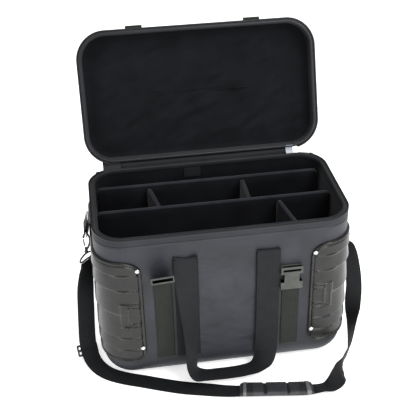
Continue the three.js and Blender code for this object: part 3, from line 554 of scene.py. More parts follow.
def spline(points: list | np.ndarray, count: int, tension: float | None = None,
           closed: bool = False) -> np.ndarray:
    """A Catmull-Rom curve: between two points, the cubic whose slopes come from the neighbours, either
    weighted by the root of the distances or, with a tension, by that share of the neighbours' span.

    Args:
        points: The points the curve passes through.
        count: How many steps it is cut into.
        tension: The tension, or None for the distance-weighted kind.
        closed: Whether the curve closes on itself.

    Returns:
        The points of the curve.
    """
    p = np.asarray(points, float)
    n = len(p)
    if closed:
        position = np.arange(count) / count * n
        ext = np.vstack([p[-1:], p, p[:2]])
    else:
        position = np.linspace(0, n - 1, count + 1)
        ext = np.vstack([2 * p[0] - p[1], p, 2 * p[-1] - p[-2]])
    i = np.minimum(position.astype(int), n - 1 if closed else n - 2)
    w = (position - i)[:, None]
    x0, x1, x2, x3 = (ext[i + k] for k in range(4))
    if tension is None:
        d0, d1, d2 = (np.maximum(np.linalg.norm(b - a, axis=1), 1e-8)[:, None] ** 0.5
                      for a, b in ((x0, x1), (x1, x2), (x2, x3)))
        t1 = ((x1 - x0) / d0 - (x2 - x0) / (d0 + d1) + (x2 - x1) / d1) * d1
        t2 = ((x2 - x1) / d1 - (x3 - x1) / (d1 + d2) + (x3 - x2) / d2) * d1
    else:
        t1, t2 = tension * (x2 - x0), tension * (x3 - x1)
    return x1 + t1 * w + (-3 * x1 + 3 * x2 - 2 * t1 - t2) * w ** 2 + (2 * x1 - 2 * x2 + t1 + t2) * w ** 3


def unit(v: np.ndarray) -> np.ndarray:
    """The vectors at length one."""
    return v / np.maximum(np.linalg.norm(v, axis=-1, keepdims=True), 1e-12)


@dataclass
class Ribbon:
    """The frame of a flat strap along its route: centres, directions along, across and off its face."""

    centre: np.ndarray
    across: np.ndarray
    face: np.ndarray
    run: np.ndarray

    @classmethod
    def through(cls, route: list | np.ndarray, count: int, width: float = 0.0) -> "Ribbon":
        """Lays a ribbon through points of x, y, z and the direction across it. It is lifted wherever its
        edge would sink into the floor.

        Args:
            route: Rows of x, y, z, across x, across y, across z.
            count: How many steps.
            width: The ribbon's width.

        Returns:
            The ribbon's frame.
        """
        route = np.asarray(route, float)
        centre = spline(route[:, :3], count)
        along = unit(np.gradient(centre, axis=0))
        across = spline(route[:, 3:], count, tension=0.3)
        across = unit(across - along * np.sum(across * along, axis=1, keepdims=True))
        clear = 1.4 * (width > 0)
        centre[:, 2] = np.maximum(centre[:, 2], width / 2 * np.abs(across[:, 2]) + clear)
        run = np.concatenate([[0], np.cumsum(np.linalg.norm(np.diff(centre, axis=0), axis=1))])
        return cls(centre, across, unit(np.cross(across, along)), run)

    def part(self, first: int, last: int, off: float = 0.0) -> "Ribbon":
        """A stretch of the ribbon, moved off its face."""
        cut = slice(first, last)
        return Ribbon(self.centre[cut] + self.face[cut] * off, self.across[cut], self.face[cut],
                      self.run[cut])

    def rings(self, section: np.ndarray) -> np.ndarray:
        """Carries a section of across and off-face pairs along the ribbon.

        Args:
            section: One section, or one for every station.

        Returns:
            Rings of points.
        """
        s = np.asarray(section, float)
        s = s[None] if s.ndim == 2 else s
        return self.centre[:, None] + self.across[:, None] * s[..., :1] + self.face[:, None] * s[..., 1:2]

    def map(self, section: np.ndarray) -> np.ndarray:
        """Along and across in metres, for every point of the rings."""
        s = np.asarray(section, float)
        s = s[None] if s.ndim == 2 else s
        across = np.broadcast_to(s[..., 0], (len(self.run), s.shape[1]))
        along = np.broadcast_to(self.run[:, None], across.shape)
        return np.stack([along, across], axis=-1) * MM


def strip_section(width: float, thickness: float, steps: int = 8) -> np.ndarray:
    """The section of a woven strip: flat faces with half-round selvedges, as across and off-face pairs."""
    r = thickness / 2
    flat = np.linspace(-width / 2 + r, width / 2 - r, steps + 1)
    a = np.radians([-60, -30, 0, 30, 60])
    right = np.column_stack([width / 2 - r + r * np.cos(a), r * np.sin(a)])
    under = np.column_stack([flat, np.full_like(flat, -r)])
    over = np.column_stack([flat[::-1], np.full_like(flat, r)])
    return np.vstack([under, right, over, -right])


def mesh_piece(name: str, vertices: np.ndarray, faces: list | np.ndarray, finish: str,
               uv: np.ndarray | None = None, sharp: float | None = CRISP) -> Object:
    """Puts vertices in millimetres and faces into a new object, with its faces outwards.

    Args:
        name: The piece's name.
        vertices: Rows of x, y, z.
        faces: Vertex numbers of each face.
        finish: The finish's key.
        uv: A map value for every vertex.
        sharp: Edges bent further than this, in degrees, stay crisp.

    Returns:
        The new object.
    """
    mesh = bpy.data.meshes.new(name)
    mesh.from_pydata((np.asarray(vertices, float) * MM).tolist(), [], [list(map(int, f)) for f in faces])
    mesh.polygons.foreach_set("use_smooth", np.ones(len(mesh.polygons), bool))
    if uv is not None:
        corners = np.zeros(len(mesh.loops), np.int32)
        mesh.loops.foreach_get("vertex_index", corners)
        mesh.uv_layers.new(name="weave").data.foreach_set("uv", np.asarray(uv, np.float32)[corners].ravel())
    mesh.materials.append(material_of(finish))
    bm = bmesh.new()
    bm.from_mesh(mesh)
    if bm.calc_volume(signed=True) < 0:
        bmesh.ops.reverse_faces(bm, faces=bm.faces)
    bm.to_mesh(mesh)
    bm.free()
    if sharp is not None:
        mesh.set_sharp_from_angle(angle=math.radians(sharp))
    piece = bpy.data.objects.new(name, mesh)
    bpy.context.collection.objects.link(piece)
    return piece


def lattice(rows: int, columns: int, wrap_rows: bool = False, wrap_columns: bool = True) -> np.ndarray:
    """The four-cornered faces of a grid of points, numbered row by row."""
    r = np.arange(rows if wrap_rows else rows - 1)[:, None]
    c = np.arange(columns if wrap_columns else columns - 1)[None]
    r2, c2 = (r + 1) % rows, (c + 1) % columns
    corners = [r * columns + c, r * columns + c2, r2 * columns + c2, r2 * columns + c]
    return np.stack([np.broadcast_to(k, (len(r), c.shape[1])) for k in corners], axis=-1).reshape(-1, 4)


def lofted(name: str, rings: np.ndarray, finish: str, loop: bool = False, uv: np.ndarray | None = None,
           sharp: float | None = CRISP) -> Object:
    """Joins equal rings into a closed skin, with a fan over each end unless the rings close on themselves.

    Args:
        name: The piece's name.
        rings: Rings of points in millimetres.
        finish: The finish's key.
        loop: Whether the last ring joins the first.
        uv: A map value for every ring point.
        sharp: Edges bent further than this stay crisp.

    Returns:
        The new object.
    """
    count, around = rings.shape[:2]
    vertices = rings.reshape(-1, 3)
    faces = lattice(count, around, wrap_rows=loop).tolist()
    flat_uv = None if uv is None else uv.reshape(-1, 2)
    if not loop:
        k = np.arange(around)
        n = (k + 1) % around
        last = (count - 1) * around
        hubs = len(vertices)
        vertices = np.vstack([vertices, rings[0].mean(0), rings[-1].mean(0)])
        faces += np.column_stack([np.full(around, hubs), n, k]).tolist()
        faces += np.column_stack([np.full(around, hubs + 1), last + k, last + n]).tolist()
        if uv is not None:
            flat_uv = np.vstack([flat_uv, uv[0].mean(0), uv[-1].mean(0)])
    return mesh_piece(name, vertices, faces, finish, flat_uv, sharp)


def woven(name: str, ribbon: Ribbon, section: np.ndarray, finish: str) -> Object:
    """A strap with one section all along a ribbon, mapped along and across."""
    return lofted(name, ribbon.rings(section), finish, uv=ribbon.map(section), sharp=None)


def sheet_piece(name: str, outer: np.ndarray, inner: np.ndarray, finish: str,
                sharp: float | None = CRISP) -> Object:
    """A wall between two equal grids of points, closed round its four edges.

    Args:
        name: The piece's name.
        outer: The grid of its outer face.
        inner: The grid of its inner face.
        finish: The finish's key.
        sharp: Edges bent further than this stay crisp.

    Returns:
        The new object.
    """
    rows, columns = outer.shape[:2]
    ring = np.concatenate([outer, inner[:, ::-1]], axis=1)
    count = 2 * columns
    faces = lattice(rows, count).tolist()
    left = np.arange(columns - 1)
    for base, flip in ((0, True), ((rows - 1) * count, False)):
        quads = np.column_stack([base + left, base + left + 1, base + count - 2 - left,
                                 base + count - 1 - left])
        faces += (quads[:, ::-1] if flip else quads).tolist()
    return mesh_piece(name, ring.reshape(-1, 3), faces, finish, sharp=sharp)


def tube(points: list | np.ndarray, radius: float | np.ndarray, steps: int = 48, closed: bool = False,
         sides: int = 14) -> np.ndarray:
    """Rings of a round bar bent through points that lie in one plane.

    Args:
        points: The points of its middle line.
        radius: Its radius, or one for every ring.
        steps: Steps along it.
        closed: Whether it closes on itself.
        sides: Points round it.

    Returns:
        The rings.
    """
    line = spline(points, steps, closed=closed)
    ahead = np.roll(line, -1, 0) - np.roll(line, 1, 0) if closed else np.gradient(line, axis=0)
    along = unit(ahead)
    p = np.asarray(points, float)
    flat = unit(np.cross(p[len(p) // 3] - p[0], p[2 * len(p) // 3] - p[0]))[None]
    aside = unit(np.cross(along, flat))
    a = np.linspace(0, 2 * math.pi, sides, endpoint=False)
    r = np.broadcast_to(np.asarray(radius, float), (len(line),))[:, None, None]
    return line[:, None] + r * (aside[:, None] * np.cos(a)[None, :, None]
                                + flat[None] * np.sin(a)[None, :, None])


def turned(profile: list[tuple[float, float]], sides: int = 28) -> np.ndarray:
    """Rings of a round body: each pair of radius and height gives one circle about the z axis."""
    a = np.linspace(0, 2 * math.pi, sides, endpoint=False)
    return np.array([np.column_stack([r * np.cos(a), r * np.sin(a), np.full(sides, h)]) for r, h in profile])


def smooth_noise(x: np.ndarray, y: np.ndarray, size: float, seed: int, lean: float = 0.0,
                 stretch: float = 1.0) -> np.ndarray:
    """A seeded soft relief: a sum of eight sine waves whose directions scatter about a lean.

    Args:
        x: First coordinate, in millimetres.
        y: Second coordinate.
        size: The typical distance from crest to crest.
        seed: The seed of its random numbers.
        lean: The direction across the crests, in degrees.
        stretch: How much the directions keep together.

    Returns:
        Heights from about -1 to 1.
    """
    rng = np.random.default_rng(seed)
    angle = np.radians(lean + rng.uniform(-90, 90, 8) / stretch)
    turns = 2 * math.pi / (size * rng.uniform(0.7, 1.7, 8))
    phase = rng.uniform(0, 2 * math.pi, 8)
    waves = [np.sin(t * (x * math.cos(a) + y * math.sin(a)) + p) for a, t, p in zip(angle, turns, phase)]
    return np.sum(waves, axis=0) / 4


def rounded_copy(node: str, name: str, finish: str, width: float, segments: int = 3) -> Object:
    """A copy of a CAD node with its corners rounded as they come from the mould.

    Args:
        node: The CAD node's name.
        name: The new piece's name.
        finish: The finish's key.
        width: The width of the rounding, in millimetres.
        segments: Steps in the rounding.

    Returns:
        The new object.
    """
    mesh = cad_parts[node].data.copy()
    mesh.name = name
    bm = bmesh.new()
    bm.from_mesh(mesh)
    bmesh.ops.remove_doubles(bm, verts=bm.verts, dist=1e-6)
    flat, corner = math.radians(1.5), math.radians(28)
    bmesh.ops.dissolve_limit(bm, angle_limit=flat, verts=bm.verts, edges=bm.edges)
    edges = [e for e in bm.edges if len(e.link_faces) == 2 and e.calc_face_angle(0) > corner]
    bmesh.ops.bevel(bm, geom=edges, offset=width * MM, segments=segments, profile=0.6, affect="EDGES",
                    clamp_overlap=True)
    for f in bm.faces:
        f.smooth = True
    bm.to_mesh(mesh)
    bm.free()
    mesh.materials.clear()
    mesh.materials.append(material_of(finish))
    mesh.set_sharp_from_angle(angle=math.radians(35))
    piece = bpy.data.objects.new(name, mesh)
    bpy.context.collection.objects.link(piece)
    return piece


def placed(piece: Object, body: str, slot: str, *nodes: str) -> Object:
    """Sets a piece on its body and hides the CAD nodes it stands for.

    Args:
        piece: The piece.
        body: The body it moves with.
        slot: The record's material slot, not used.
        nodes: CAD nodes that it replaces.

    Returns:
        The piece.
    """
    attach(piece, body)
    if nodes:
        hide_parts(*nodes)
    LOG.info("built %s on %s", piece.name, body)
    return piece


def moulded(node: str, name: str, finish: str, width: float, body: str, slot: str,
            segments: int = 3) -> Object:
    """A rounded copy of a CAD node, set on its body in that node's place."""
    return placed(rounded_copy(node, name, finish, width, segments), body, slot, node)


def stitched(name: str, rows: list[np.ndarray], off: list[np.ndarray], body: str, slot: str = "webbing",
             pitch: float = 4.2, length: float = 3.2, width: float = 0.9) -> Object:
    """Rows of sewing: each stitch is a small six-cornered grain of thread, half sunk in the cloth.

    Args:
        name: The piece's name.
        rows: Lines of points for each row.
        off: The direction off the cloth for each row, one or one for every point.
        body: The body the stitches move with.
        slot: The record's material slot.
        pitch: The distance from stitch to stitch.
        length: A stitch's length.
        width: A stitch's width.

    Returns:
        The new object.
    """
    middles, alongs, ups = [], [], []
    for row, up in zip(rows, off):
        row = np.asarray(row, float)
        up = np.broadcast_to(np.asarray(up, float), row.shape)
        run = np.concatenate([[0], np.cumsum(np.linalg.norm(np.diff(row, axis=0), axis=1))])
        at = np.arange(pitch / 2, run[-1], pitch)
        middle = np.column_stack([np.interp(at, run, row[:, k]) for k in range(3)])
        ahead = np.column_stack([np.interp(at + 0.5, run, row[:, k]) for k in range(3)])
        behind = np.column_stack([np.interp(at - 0.5, run, row[:, k]) for k in range(3)])
        middles.append(middle)
        alongs.append(unit(ahead - behind))
        ups.append(unit(np.column_stack([np.interp(at, run, up[:, k]) for k in range(3)])))
    m, a, u = np.vstack(middles), np.vstack(alongs), np.vstack(ups)
    s = np.cross(a, u)
    grains = np.stack([m - a * length / 2, m + a * length / 2, m - s * width / 2, m + s * width / 2,
                       m - u * width * 0.35, m + u * width * 0.45], axis=1)
    eight = np.array([[0, 2, 5], [2, 1, 5], [1, 3, 5], [3, 0, 5], [2, 0, 4], [1, 2, 4], [3, 1, 4], [0, 3, 4]])
    faces = (eight[None] + 6 * np.arange(len(m))[:, None, None]).reshape(-1, 3)
    return placed(mesh_piece(name, grains.reshape(-1, 3), faces, "thread", sharp=None), body, slot)


# ------------------------------------------------------------------------------ stage
@dataclass
class Studio:
    """The camera, the pale floor and the soft lights."""

    camera_at: tuple[float, float, float] = (-235.2, -1541.4, 1330.1)
    yaw: float = 8.15
    pitch: float = 32.66
    roll: float = -1.19
    lens: float = 73.07
    sky_strength: float = 0.72
    # A little glow of its own keeps the shadows on the floor pale.
    floor_glow: float = 0.5
    floor_half: float = 30.0
    floor_z: float = -0.0005
    # Name, place and width in metres, and power in watts.
    lights: tuple = (("key_light", (1.3, -2.1, 2.5), 1.4, 70), ("fill_light", (-2.3, -1.3, 1.7), 1.6, 16),
                     ("low_front_light", (0.4, -2.6, 0.4), 1.2, 26), ("top_light", (0.2, 0.2, 3.0), 1.8, 56))

    def facing(self, right: np.ndarray, up: np.ndarray, back: np.ndarray, at: np.ndarray) -> Matrix:
        """The placement of a camera or lamp with these three directions, at a place in metres."""
        turn = np.eye(4)
        turn[:3, 0], turn[:3, 1], turn[:3, 2], turn[:3, 3] = right, up, back, at
        return Matrix(turn.tolist())

    def camera(self) -> None:
        """Sets the camera from its place and its turn to the right, down and about its own axis."""
        yaw, pitch, roll = (math.radians(v) for v in (self.yaw, self.pitch, self.roll))
        ahead = np.array([math.sin(yaw) * math.cos(pitch), math.cos(yaw) * math.cos(pitch),
                          -math.sin(pitch)])
        right = np.array([math.cos(yaw), -math.sin(yaw), 0])
        up = np.cross(right, ahead)
        x = right * math.cos(roll) + up * math.sin(roll)
        y = -right * math.sin(roll) + up * math.cos(roll)
        data = bpy.data.cameras.new("camera")
        data.lens, data.sensor_width, data.clip_start, data.clip_end = self.lens, 36, 0.05, 50
        camera = bpy.data.objects.new("camera", data)
        bpy.context.collection.objects.link(camera)
        camera.matrix_world = self.facing(x, y, -ahead, np.array(self.camera_at) * MM)
        bpy.context.scene.camera = camera

    def light(self, name: str, at: tuple[float, float, float], size: float, power: float) -> None:
        """Adds a square soft light that faces the middle of the case."""
        data = bpy.data.lights.new(name, "AREA")
        data.size, data.energy = size, power
        lamp = bpy.data.objects.new(name, data)
        bpy.context.collection.objects.link(lamp)
        ahead = unit(np.array([0, 0, 0.3]) - np.array(at))
        right = unit(np.cross(ahead, [0, 0, 1.0]))
        lamp.matrix_world = self.facing(right, np.cross(right, ahead), -ahead, at)

    def build(self) -> None:
        """Makes the camera, lights, sky and floor."""
        self.camera()
        for name, at, size, power in self.lights:
            self.light(name, at, size, power)
        world = bpy.data.worlds.new("sky")
        world.use_nodes = True
        world.node_tree.nodes["Background"].inputs[0].default_value = (1, 1, 1, 1)
        world.node_tree.nodes["Background"].inputs[1].default_value = self.sky_strength
        bpy.context.scene.world = world
        bpy.context.scene.view_settings.view_transform = "Standard"
        material, _, shader = start_material("pale_floor_paint")
        set_sockets(shader, {"Base Color": linear("f6f6f6"), "Emission Color": linear("ffffff"),
                             "Emission Strength": self.floor_glow, "Roughness": 0.9,
                             "Specular IOR Level": 0.1})
        mesh = bpy.data.meshes.new("floor")
        corners = [(x * self.floor_half, y * self.floor_half, self.floor_z)
                   for x, y in ((-1, -1), (1, -1), (1, 1), (-1, 1))]
        mesh.from_pydata(corners, [], [(0, 1, 2, 3)])
        mesh.materials.append(material)
        floor = bpy.data.objects.new("floor", mesh)
        bpy.context.collection.objects.link(floor)


# ------------------------------------------------------------------------------ shoulder strap
@dataclass
class ShoulderStrap:
    """The strap that clips to both ends: webbing, its folded-back layer, slider and grip."""

    width: float = 38.0
    thickness: float = 2.0
    steps: int = 448
    glide_step: int = 84
    pad_start: float = 10.0
    pad_end: float = 171.0
    pad_width: float = 43.0
    pad_front: float = -200.0
    pad_height: float = 8.4
    pad_ribs: int = 46
    pad_steps: int = 220
    # Where the grip's top changes height, and which stretches are dark (1) or pale (2) rubber, as shares
    # of its length.
    steps_up: tuple = ((0.32, 0.36, -3.6), (0.635, 0.67, -3.6), (0.045, 0.095, 1.2), (0.9, 0.955, 1.2))
    rubbers: tuple = ((0, 0.05, 1), (0.05, 0.09, 2), (0.09, 0.18, 1), (0.32, 0.36, 1), (0.635, 0.67, 1),
                      (0.8, 0.9, 1), (0.9, 0.955, 2), (0.955, 1.01, 1))
    # The middle line's points, each with the direction across the webbing there.
    route: tuple = (
        (-290, 0, 228, 0.64, 0.77, 0), (-290.5, -0.5, 217, 0.68, 0.73, 0), (-295, -3, 195, 0.8, 0.6, 0),
        (-300, -6, 150, 0.97, 0.25, 0), (-303, -12, 105, 1, 0.05, 0), (-306, -24, 62, 1, 0.08, 0),
        (-307, -43, 28, 0.99, 0.12, 0), (-301, -70, 10, 0.95, 0.3, 0), (-288, -97, 3.5, 0.84, 0.54, 0),
        (-266, -122, 1.5, 0.72, 0.69, 0), (-232, -143, 1.5, 0.5, 0.87, 0),
        (-192, -160, 1.5, 0.4, 0.92, 0), (-148, -179, 1.5, 0.38, 0.92, 0),
        (-104, -196, 1.5, 0.33, 0.94, 0), (-58, -209, 1.5, 0.28, 0.96, 0),
        (-16, -222, 3, 0.2, 0.97, -0.08), (24, -231, 4.8, 0.13, 0.96, -0.16),
        (90, -241, 5, 0.13, 0.96, -0.18), (156, -250, 5, 0.12, 0.96, -0.18),
        (190, -252, 8, 0.08, 0.95, -0.3), (209, -250, 9, -0.3, 0.94, -0.05),
        (227, -236, 11.5, -0.65, 0.7, 0.25), (239, -214, 16.5, -0.42, 0.3, 0.85),
        (250, -197, 20.8, 0.02, 0, 1), (262, -176, 20.8, 0.15, -0.08, 0.985),
        (274, -160, 20.8, 0.17, -0.09, 0.98), (285, -138, 20.5, 0.2, -0.1, 0.97),
        (295, -112, 23, 0.3, -0.15, 0.93), (307, -77, 36, 0.5, -0.2, 0.8),
        (316, -46, 62, 0.85, -0.25, 0.35), (323, -22, 100, 1, 0, 0), (317, -9, 150, 1, -0.05, 0),
        (304, -3, 195, 0.9, -0.4, 0), (291, -0.5, 217, 0.68, -0.73, 0), (290, 0, 228, 0.64, -0.77, 0))

    def webbing(self, name: str, ribbon: Ribbon, width: float, *nodes: str) -> Object:
        """One layer of strap along a ribbon."""
        section = strip_section(width, self.thickness, 6)
        piece = woven(name, ribbon, section, "strap")
        return placed(piece, "case", "strap_webbing", *nodes)

    def grip(self, ribbon: Ribbon) -> Object:
        """The moulded grip: a flat-based bar whose top is ribbed across, with two deep grooves and paler
        ribs near its ends. Its height is a plateau less the grooves plus the ribs, along its length."""
        keep = ((ribbon.centre[:, 0] > self.pad_start) & (ribbon.centre[:, 0] < self.pad_end)
                & (ribbon.centre[:, 1] < self.pad_front))
        first, last = np.flatnonzero(keep)[[0, -1]]
        at = np.linspace(ribbon.run[first], ribbon.run[last], self.pad_steps)
        lines = [np.column_stack([np.interp(at, ribbon.run, v[:, k]) for k in range(3)])
                 for v in (ribbon.centre, ribbon.across, ribbon.face)]
        pad = Ribbon(lines[0], unit(lines[1]), unit(lines[2]), at)
        share = (at - at[0]) / (at[-1] - at[0])
        round_end = np.sqrt(np.clip(1 - (np.abs(share - 0.5) / 0.5) ** 16, 0, 1))
        height = self.pad_height + 0.5 * np.sin(share * 2 * math.pi * self.pad_ribs)
        for low, high, change in self.steps_up:
            inside = 1 / (1 + np.exp(-(share - low) * 400)) - 1 / (1 + np.exp(-(share - high) * 400))
            height += change * inside
        height = 0.4 + height * round_end
        half = self.pad_width / 2 * (0.9 + 0.1 * round_end)
        turn = -1 if pad.face[len(at) // 2, 2] < 0 else 1
        base = self.thickness / 2 + 0.6
        a = np.linspace(0, math.pi, 25)
        lobe = np.column_stack([np.sign(np.cos(a)) * np.abs(np.cos(a)) ** 0.3, np.abs(np.sin(a)) ** 0.42])
        under = np.column_stack([np.linspace(-1, 1, 9)[1:-1], np.zeros(7)])
        shape = np.vstack([lobe, under])
        section = np.stack([shape[None, :, 0] * half[:, None],
                            turn * (base + shape[None, :, 1] * height[:, None])], axis=-1)
        piece = lofted("shoulder_pad_grip", pad.rings(section), "pad_mid", uv=pad.map(section), sharp=50)
        piece.data.materials.append(material_of("pad_dark"))
        piece.data.materials.append(material_of("pad_light"))
        middle = np.array([p.center[:] for p in piece.data.polygons]) / MM
        nearest = share[np.argmin(((middle[:, None, :2] - pad.centre[None, :, :2]) ** 2).sum(-1), axis=1)]
        index = np.zeros(len(nearest), np.int32)
        for low, high, kind in self.rubbers:
            index[(nearest >= low) & (nearest < high)] = kind
        piece.data.polygons.foreach_set("material_index", index)
        return placed(piece, "case", "pad_rubber", "shoulder_pad")

    def build(self) -> None:
        ribbon = Ribbon.through(self.route, self.steps, self.width)
        strap = self.webbing("shoulder_strap_webbing", ribbon, self.width, "shoulder_strap")
        back = ribbon.part(0, self.glide_step, -self.thickness - 1.8)
        fold = self.webbing("shoulder_strap_second_layer", back, self.width - 1, "strap_fold_back")
        glide = moulded("tri_glide", "three_bar_slider", "black_metal", 0.9, "case", "hardware_black")
        pad = self.grip(ribbon)


# ------------------------------------------------------------------------------ body and lid
@dataclass
class CaseBody:
    """The foam-walled body: cloth shell, brushed lining, base board, rim binding, zip and label."""

    wrinkle: float = 1.3
    free_half: float = 174.0
    label_left: float = -51.0
    label_right: float = -13.0
    label_top: float = CASE_HEIGHT - 10
    label_drop: float = 24.0

    def shell(self) -> None:
        """The cloth shell: the plan outline carried up a profile that rounds the base, rises straight, and
        steps in under the zip tape. Between the guards its walls are gently uneven."""
        h = CASE_HEIGHT
        base, wall = quarter(BASE_RADIUS, 0, 0, 1), levels((0, 56), (0, h - 24), 40)
        profile = [(BASE_RADIUS + 60, 0.0), *base, *wall, *zip_step(h, 1),
                   *quarter(BASE_RADIUS - FOAM, FOAM, FOAM, 1)[::-1]]
        rings = tray(profile)
        normals = outline(0)[:, 2:]
        outer = slice(1 + len(base), 2 + len(base) + len(wall))
        x, z = rings[outer, :, 0], rings[outer, :, 2]
        free = np.clip((self.free_half - np.abs(x)) / 20, 0, 1) * np.clip((h - 20 - z) / 14, 0, 1)
        relief = self.wrinkle * (smooth_noise(x, z, size=70, seed=3, lean=20, stretch=2.5)
                                 + 0.5 * smooth_noise(x, z, size=22, seed=4, lean=88, stretch=5))
        rings[outer, :, :2] += (np.minimum(relief, 0.3) * free)[..., None] * normals[None]
        placed(lofted("body_shell_cloth", rings, "case_cloth"), "case", "case_cloth", "body_shell")

    def lining(self) -> None:
        """The lining: a thin tray inside the shell, and the covered base board."""
        outer, inner = FOAM + GAP, FOAM + LINING
        h = CASE_HEIGHT - FOAM_SHORT
        profile = [*quarter(BASE_RADIUS - outer, outer, outer, 1), *levels((outer, 60), (outer, h), 4),
                   *levels((inner, h), (inner, 60), 30), *quarter(BASE_RADIUS - inner, inner, inner, 1)[::-1]]
        placed(lofted("body_lining_velour", tray(profile), "velour"), "case", "velour", "body_lining")
        moulded("base_board", "base_board_covered", "velour", 1.0, "case", "velour")

    def label(self) -> None:
        """The care label: a sheet sewn along its top, whose free edge sways out from the wall."""
        y = HALF_DEPTH - RIM_WIDTH
        u, v = np.meshgrid(np.linspace(self.label_left, self.label_right, 20),
                           np.linspace(self.label_top - self.label_drop, self.label_top, 14))
        share = (u - self.label_left) / (self.label_right - self.label_left)
        sway = 0.5 * np.sin(share * math.pi * 1.5) * (self.label_top - v) / self.label_drop
        front = np.stack([u, y - 1.7 - np.abs(sway), v], axis=-1)
        back = front + [0, 0.5, 0]
        label = placed(sheet_piece("care_label_tape", front, back, "label"), "case", "binding_tape",
                       "care_label")

    def build(self) -> None:
        """Makes every piece of the body."""
        self.shell()
        self.lining()
        binding("body_rim_binding_tape", CASE_HEIGHT, 1, "case", "body_rim_binding", False)
        zip_half("body_zip_half", CASE_HEIGHT, 1, "case", "body_zip", False)
        self.label()


def binding(name: str, split: float, turn: int, body: str, node: str, lid: bool) -> None:
    """The bound rim: a hoop whose section is, from the outside in, the edge of the zip tape, the dark zip
    coil in a shallow groove, and the rounded binding. It is slightly lumpy all the way round.

    Args:
        name: The piece's name.
        split: The height of the zip line.
        turn: 1 for the body, whose rim hangs below the line, and -1 for the lid.
        body: The body it rides on.
        node: The CAD node it replaces.
        lid: Whether it is turned open with the lid.
    """
    low, high = split - turn * GAP, split - turn * 8.6
    # Inset, and depth behind the zip line's edge.
    inner = ((3.8, 2.2), (4.3, 1.0), (5.4, 0.2), (6.3, 0.1), (6.7, 1.5), (8.1, 1.5), (8.5, 0.1), (10, 0),
             (11.6, 0.3), (12.6, 1.2), (13, 2.6))
    section = [(3.8, high), *((inset, low - turn * deep) for inset, deep in inner), (13, high)]
    rings = tray(section)
    lump = 0.25 * smooth_noise(rings[..., 0], rings[..., 1], size=22, seed=8)
    rings[..., 2] -= turn * np.abs(lump) * (np.abs(rings[..., 2] - high) > 1)
    piece = lofted(name, opened(rings) if lid else rings, "binding", loop=True)
    piece.data.materials.append(material_of("tape"))
    piece.data.materials.append(material_of("zip_teeth"))
    row = np.arange(len(piece.data.polygons)) // rings.shape[1]
    tones = np.where(row < 4, 1, np.where(row < 7, 2, 0)).astype(np.int32)
    piece.data.polygons.foreach_set("material_index", tones)
    placed(piece, body, "binding_tape", node)


def zip_half(name: str, split: float, turn: int, body: str, node: str, lid: bool) -> None:
    """Half a zip: a woven tape along the outline and a row of small teeth along its edge.

    Args:
        name: The piece's name.
        split: The height of the zip line.
        turn: 1 for the body and -1 for the lid.
        body: The body it rides on.
        node: The CAD node it replaces.
        lid: Whether it is turned open with the lid.
    """
    zip_end, steps = HINGE_HALF_LENGTH + 16, 420
    run = np.linspace(zip_end, 2 * OUTLINE_HALF - zip_end, steps)
    along = outline_at(np.where(run > OUTLINE_HALF, run - 2 * OUTLINE_HALF, run))
    root, edge = split - turn * 4, split - turn * 16
    section = np.array([(-0.4, root + turn * 1.0), (0.1, root - turn * 0.6), (0, root - turn * 4),
                        (-0.1, edge + turn), (-0.5, edge), (-2.0, edge), (-2.3, root),
                        (-1.8, root + turn * 1.0)])
    rings = np.stack([np.stack([along[:, 0] + along[:, 2] * out, along[:, 1] + along[:, 3] * out,
                                np.full(len(along), z)], axis=-1) for out, z in section], axis=1)
    tape = lofted(name + "_tape", opened(rings) if lid else rings, "tape")
    placed(tape, body, "zip", node)
    pitch = 2.6
    run = np.arange(zip_end + 2, 2 * OUTLINE_HALF - zip_end - 2, pitch)
    at = outline_at(np.where(run > OUTLINE_HALF, run - 2 * OUTLINE_HALF, run))
    normal = np.column_stack([at[:, 2:], np.zeros(len(at))])
    tangent = np.column_stack([-at[:, 3], at[:, 2], np.zeros(len(at))])
    up = np.array([0, 0, turn])
    middle = np.column_stack([at[:, :2], np.full(len(at), split - turn * 2.3)]) - normal * 1.6
    half = np.array([0.75, 1.7, 2.1])
    signs = np.array([[a, b, c] for a in (-1, 1) for b in (-1, 1) for c in (-1, 1)])
    taper = np.where(signs[:, 2:] > 0, 0.7, 1.0)
    offsets = signs * half * np.hstack([taper, np.ones((8, 2))])
    teeth = (middle[:, None] + offsets[None, :, :1] * tangent[:, None]
             + offsets[None, :, 1:2] * normal[:, None] + offsets[None, :, 2:] * up)
    six = np.array([[0, 1, 3, 2], [4, 6, 7, 5], [0, 4, 5, 1], [2, 3, 7, 6], [0, 2, 6, 4], [1, 5, 7, 3]])
    if turn < 0:
        six = six[:, ::-1]
    faces = (six[None] + 8 * np.arange(len(teeth))[:, None, None]).reshape(-1, 4)
    teeth = opened(teeth) if lid else teeth
    placed(mesh_piece(name + "_teeth", teeth.reshape(-1, 3), faces, "zip_teeth", sharp=30), body, "zip")


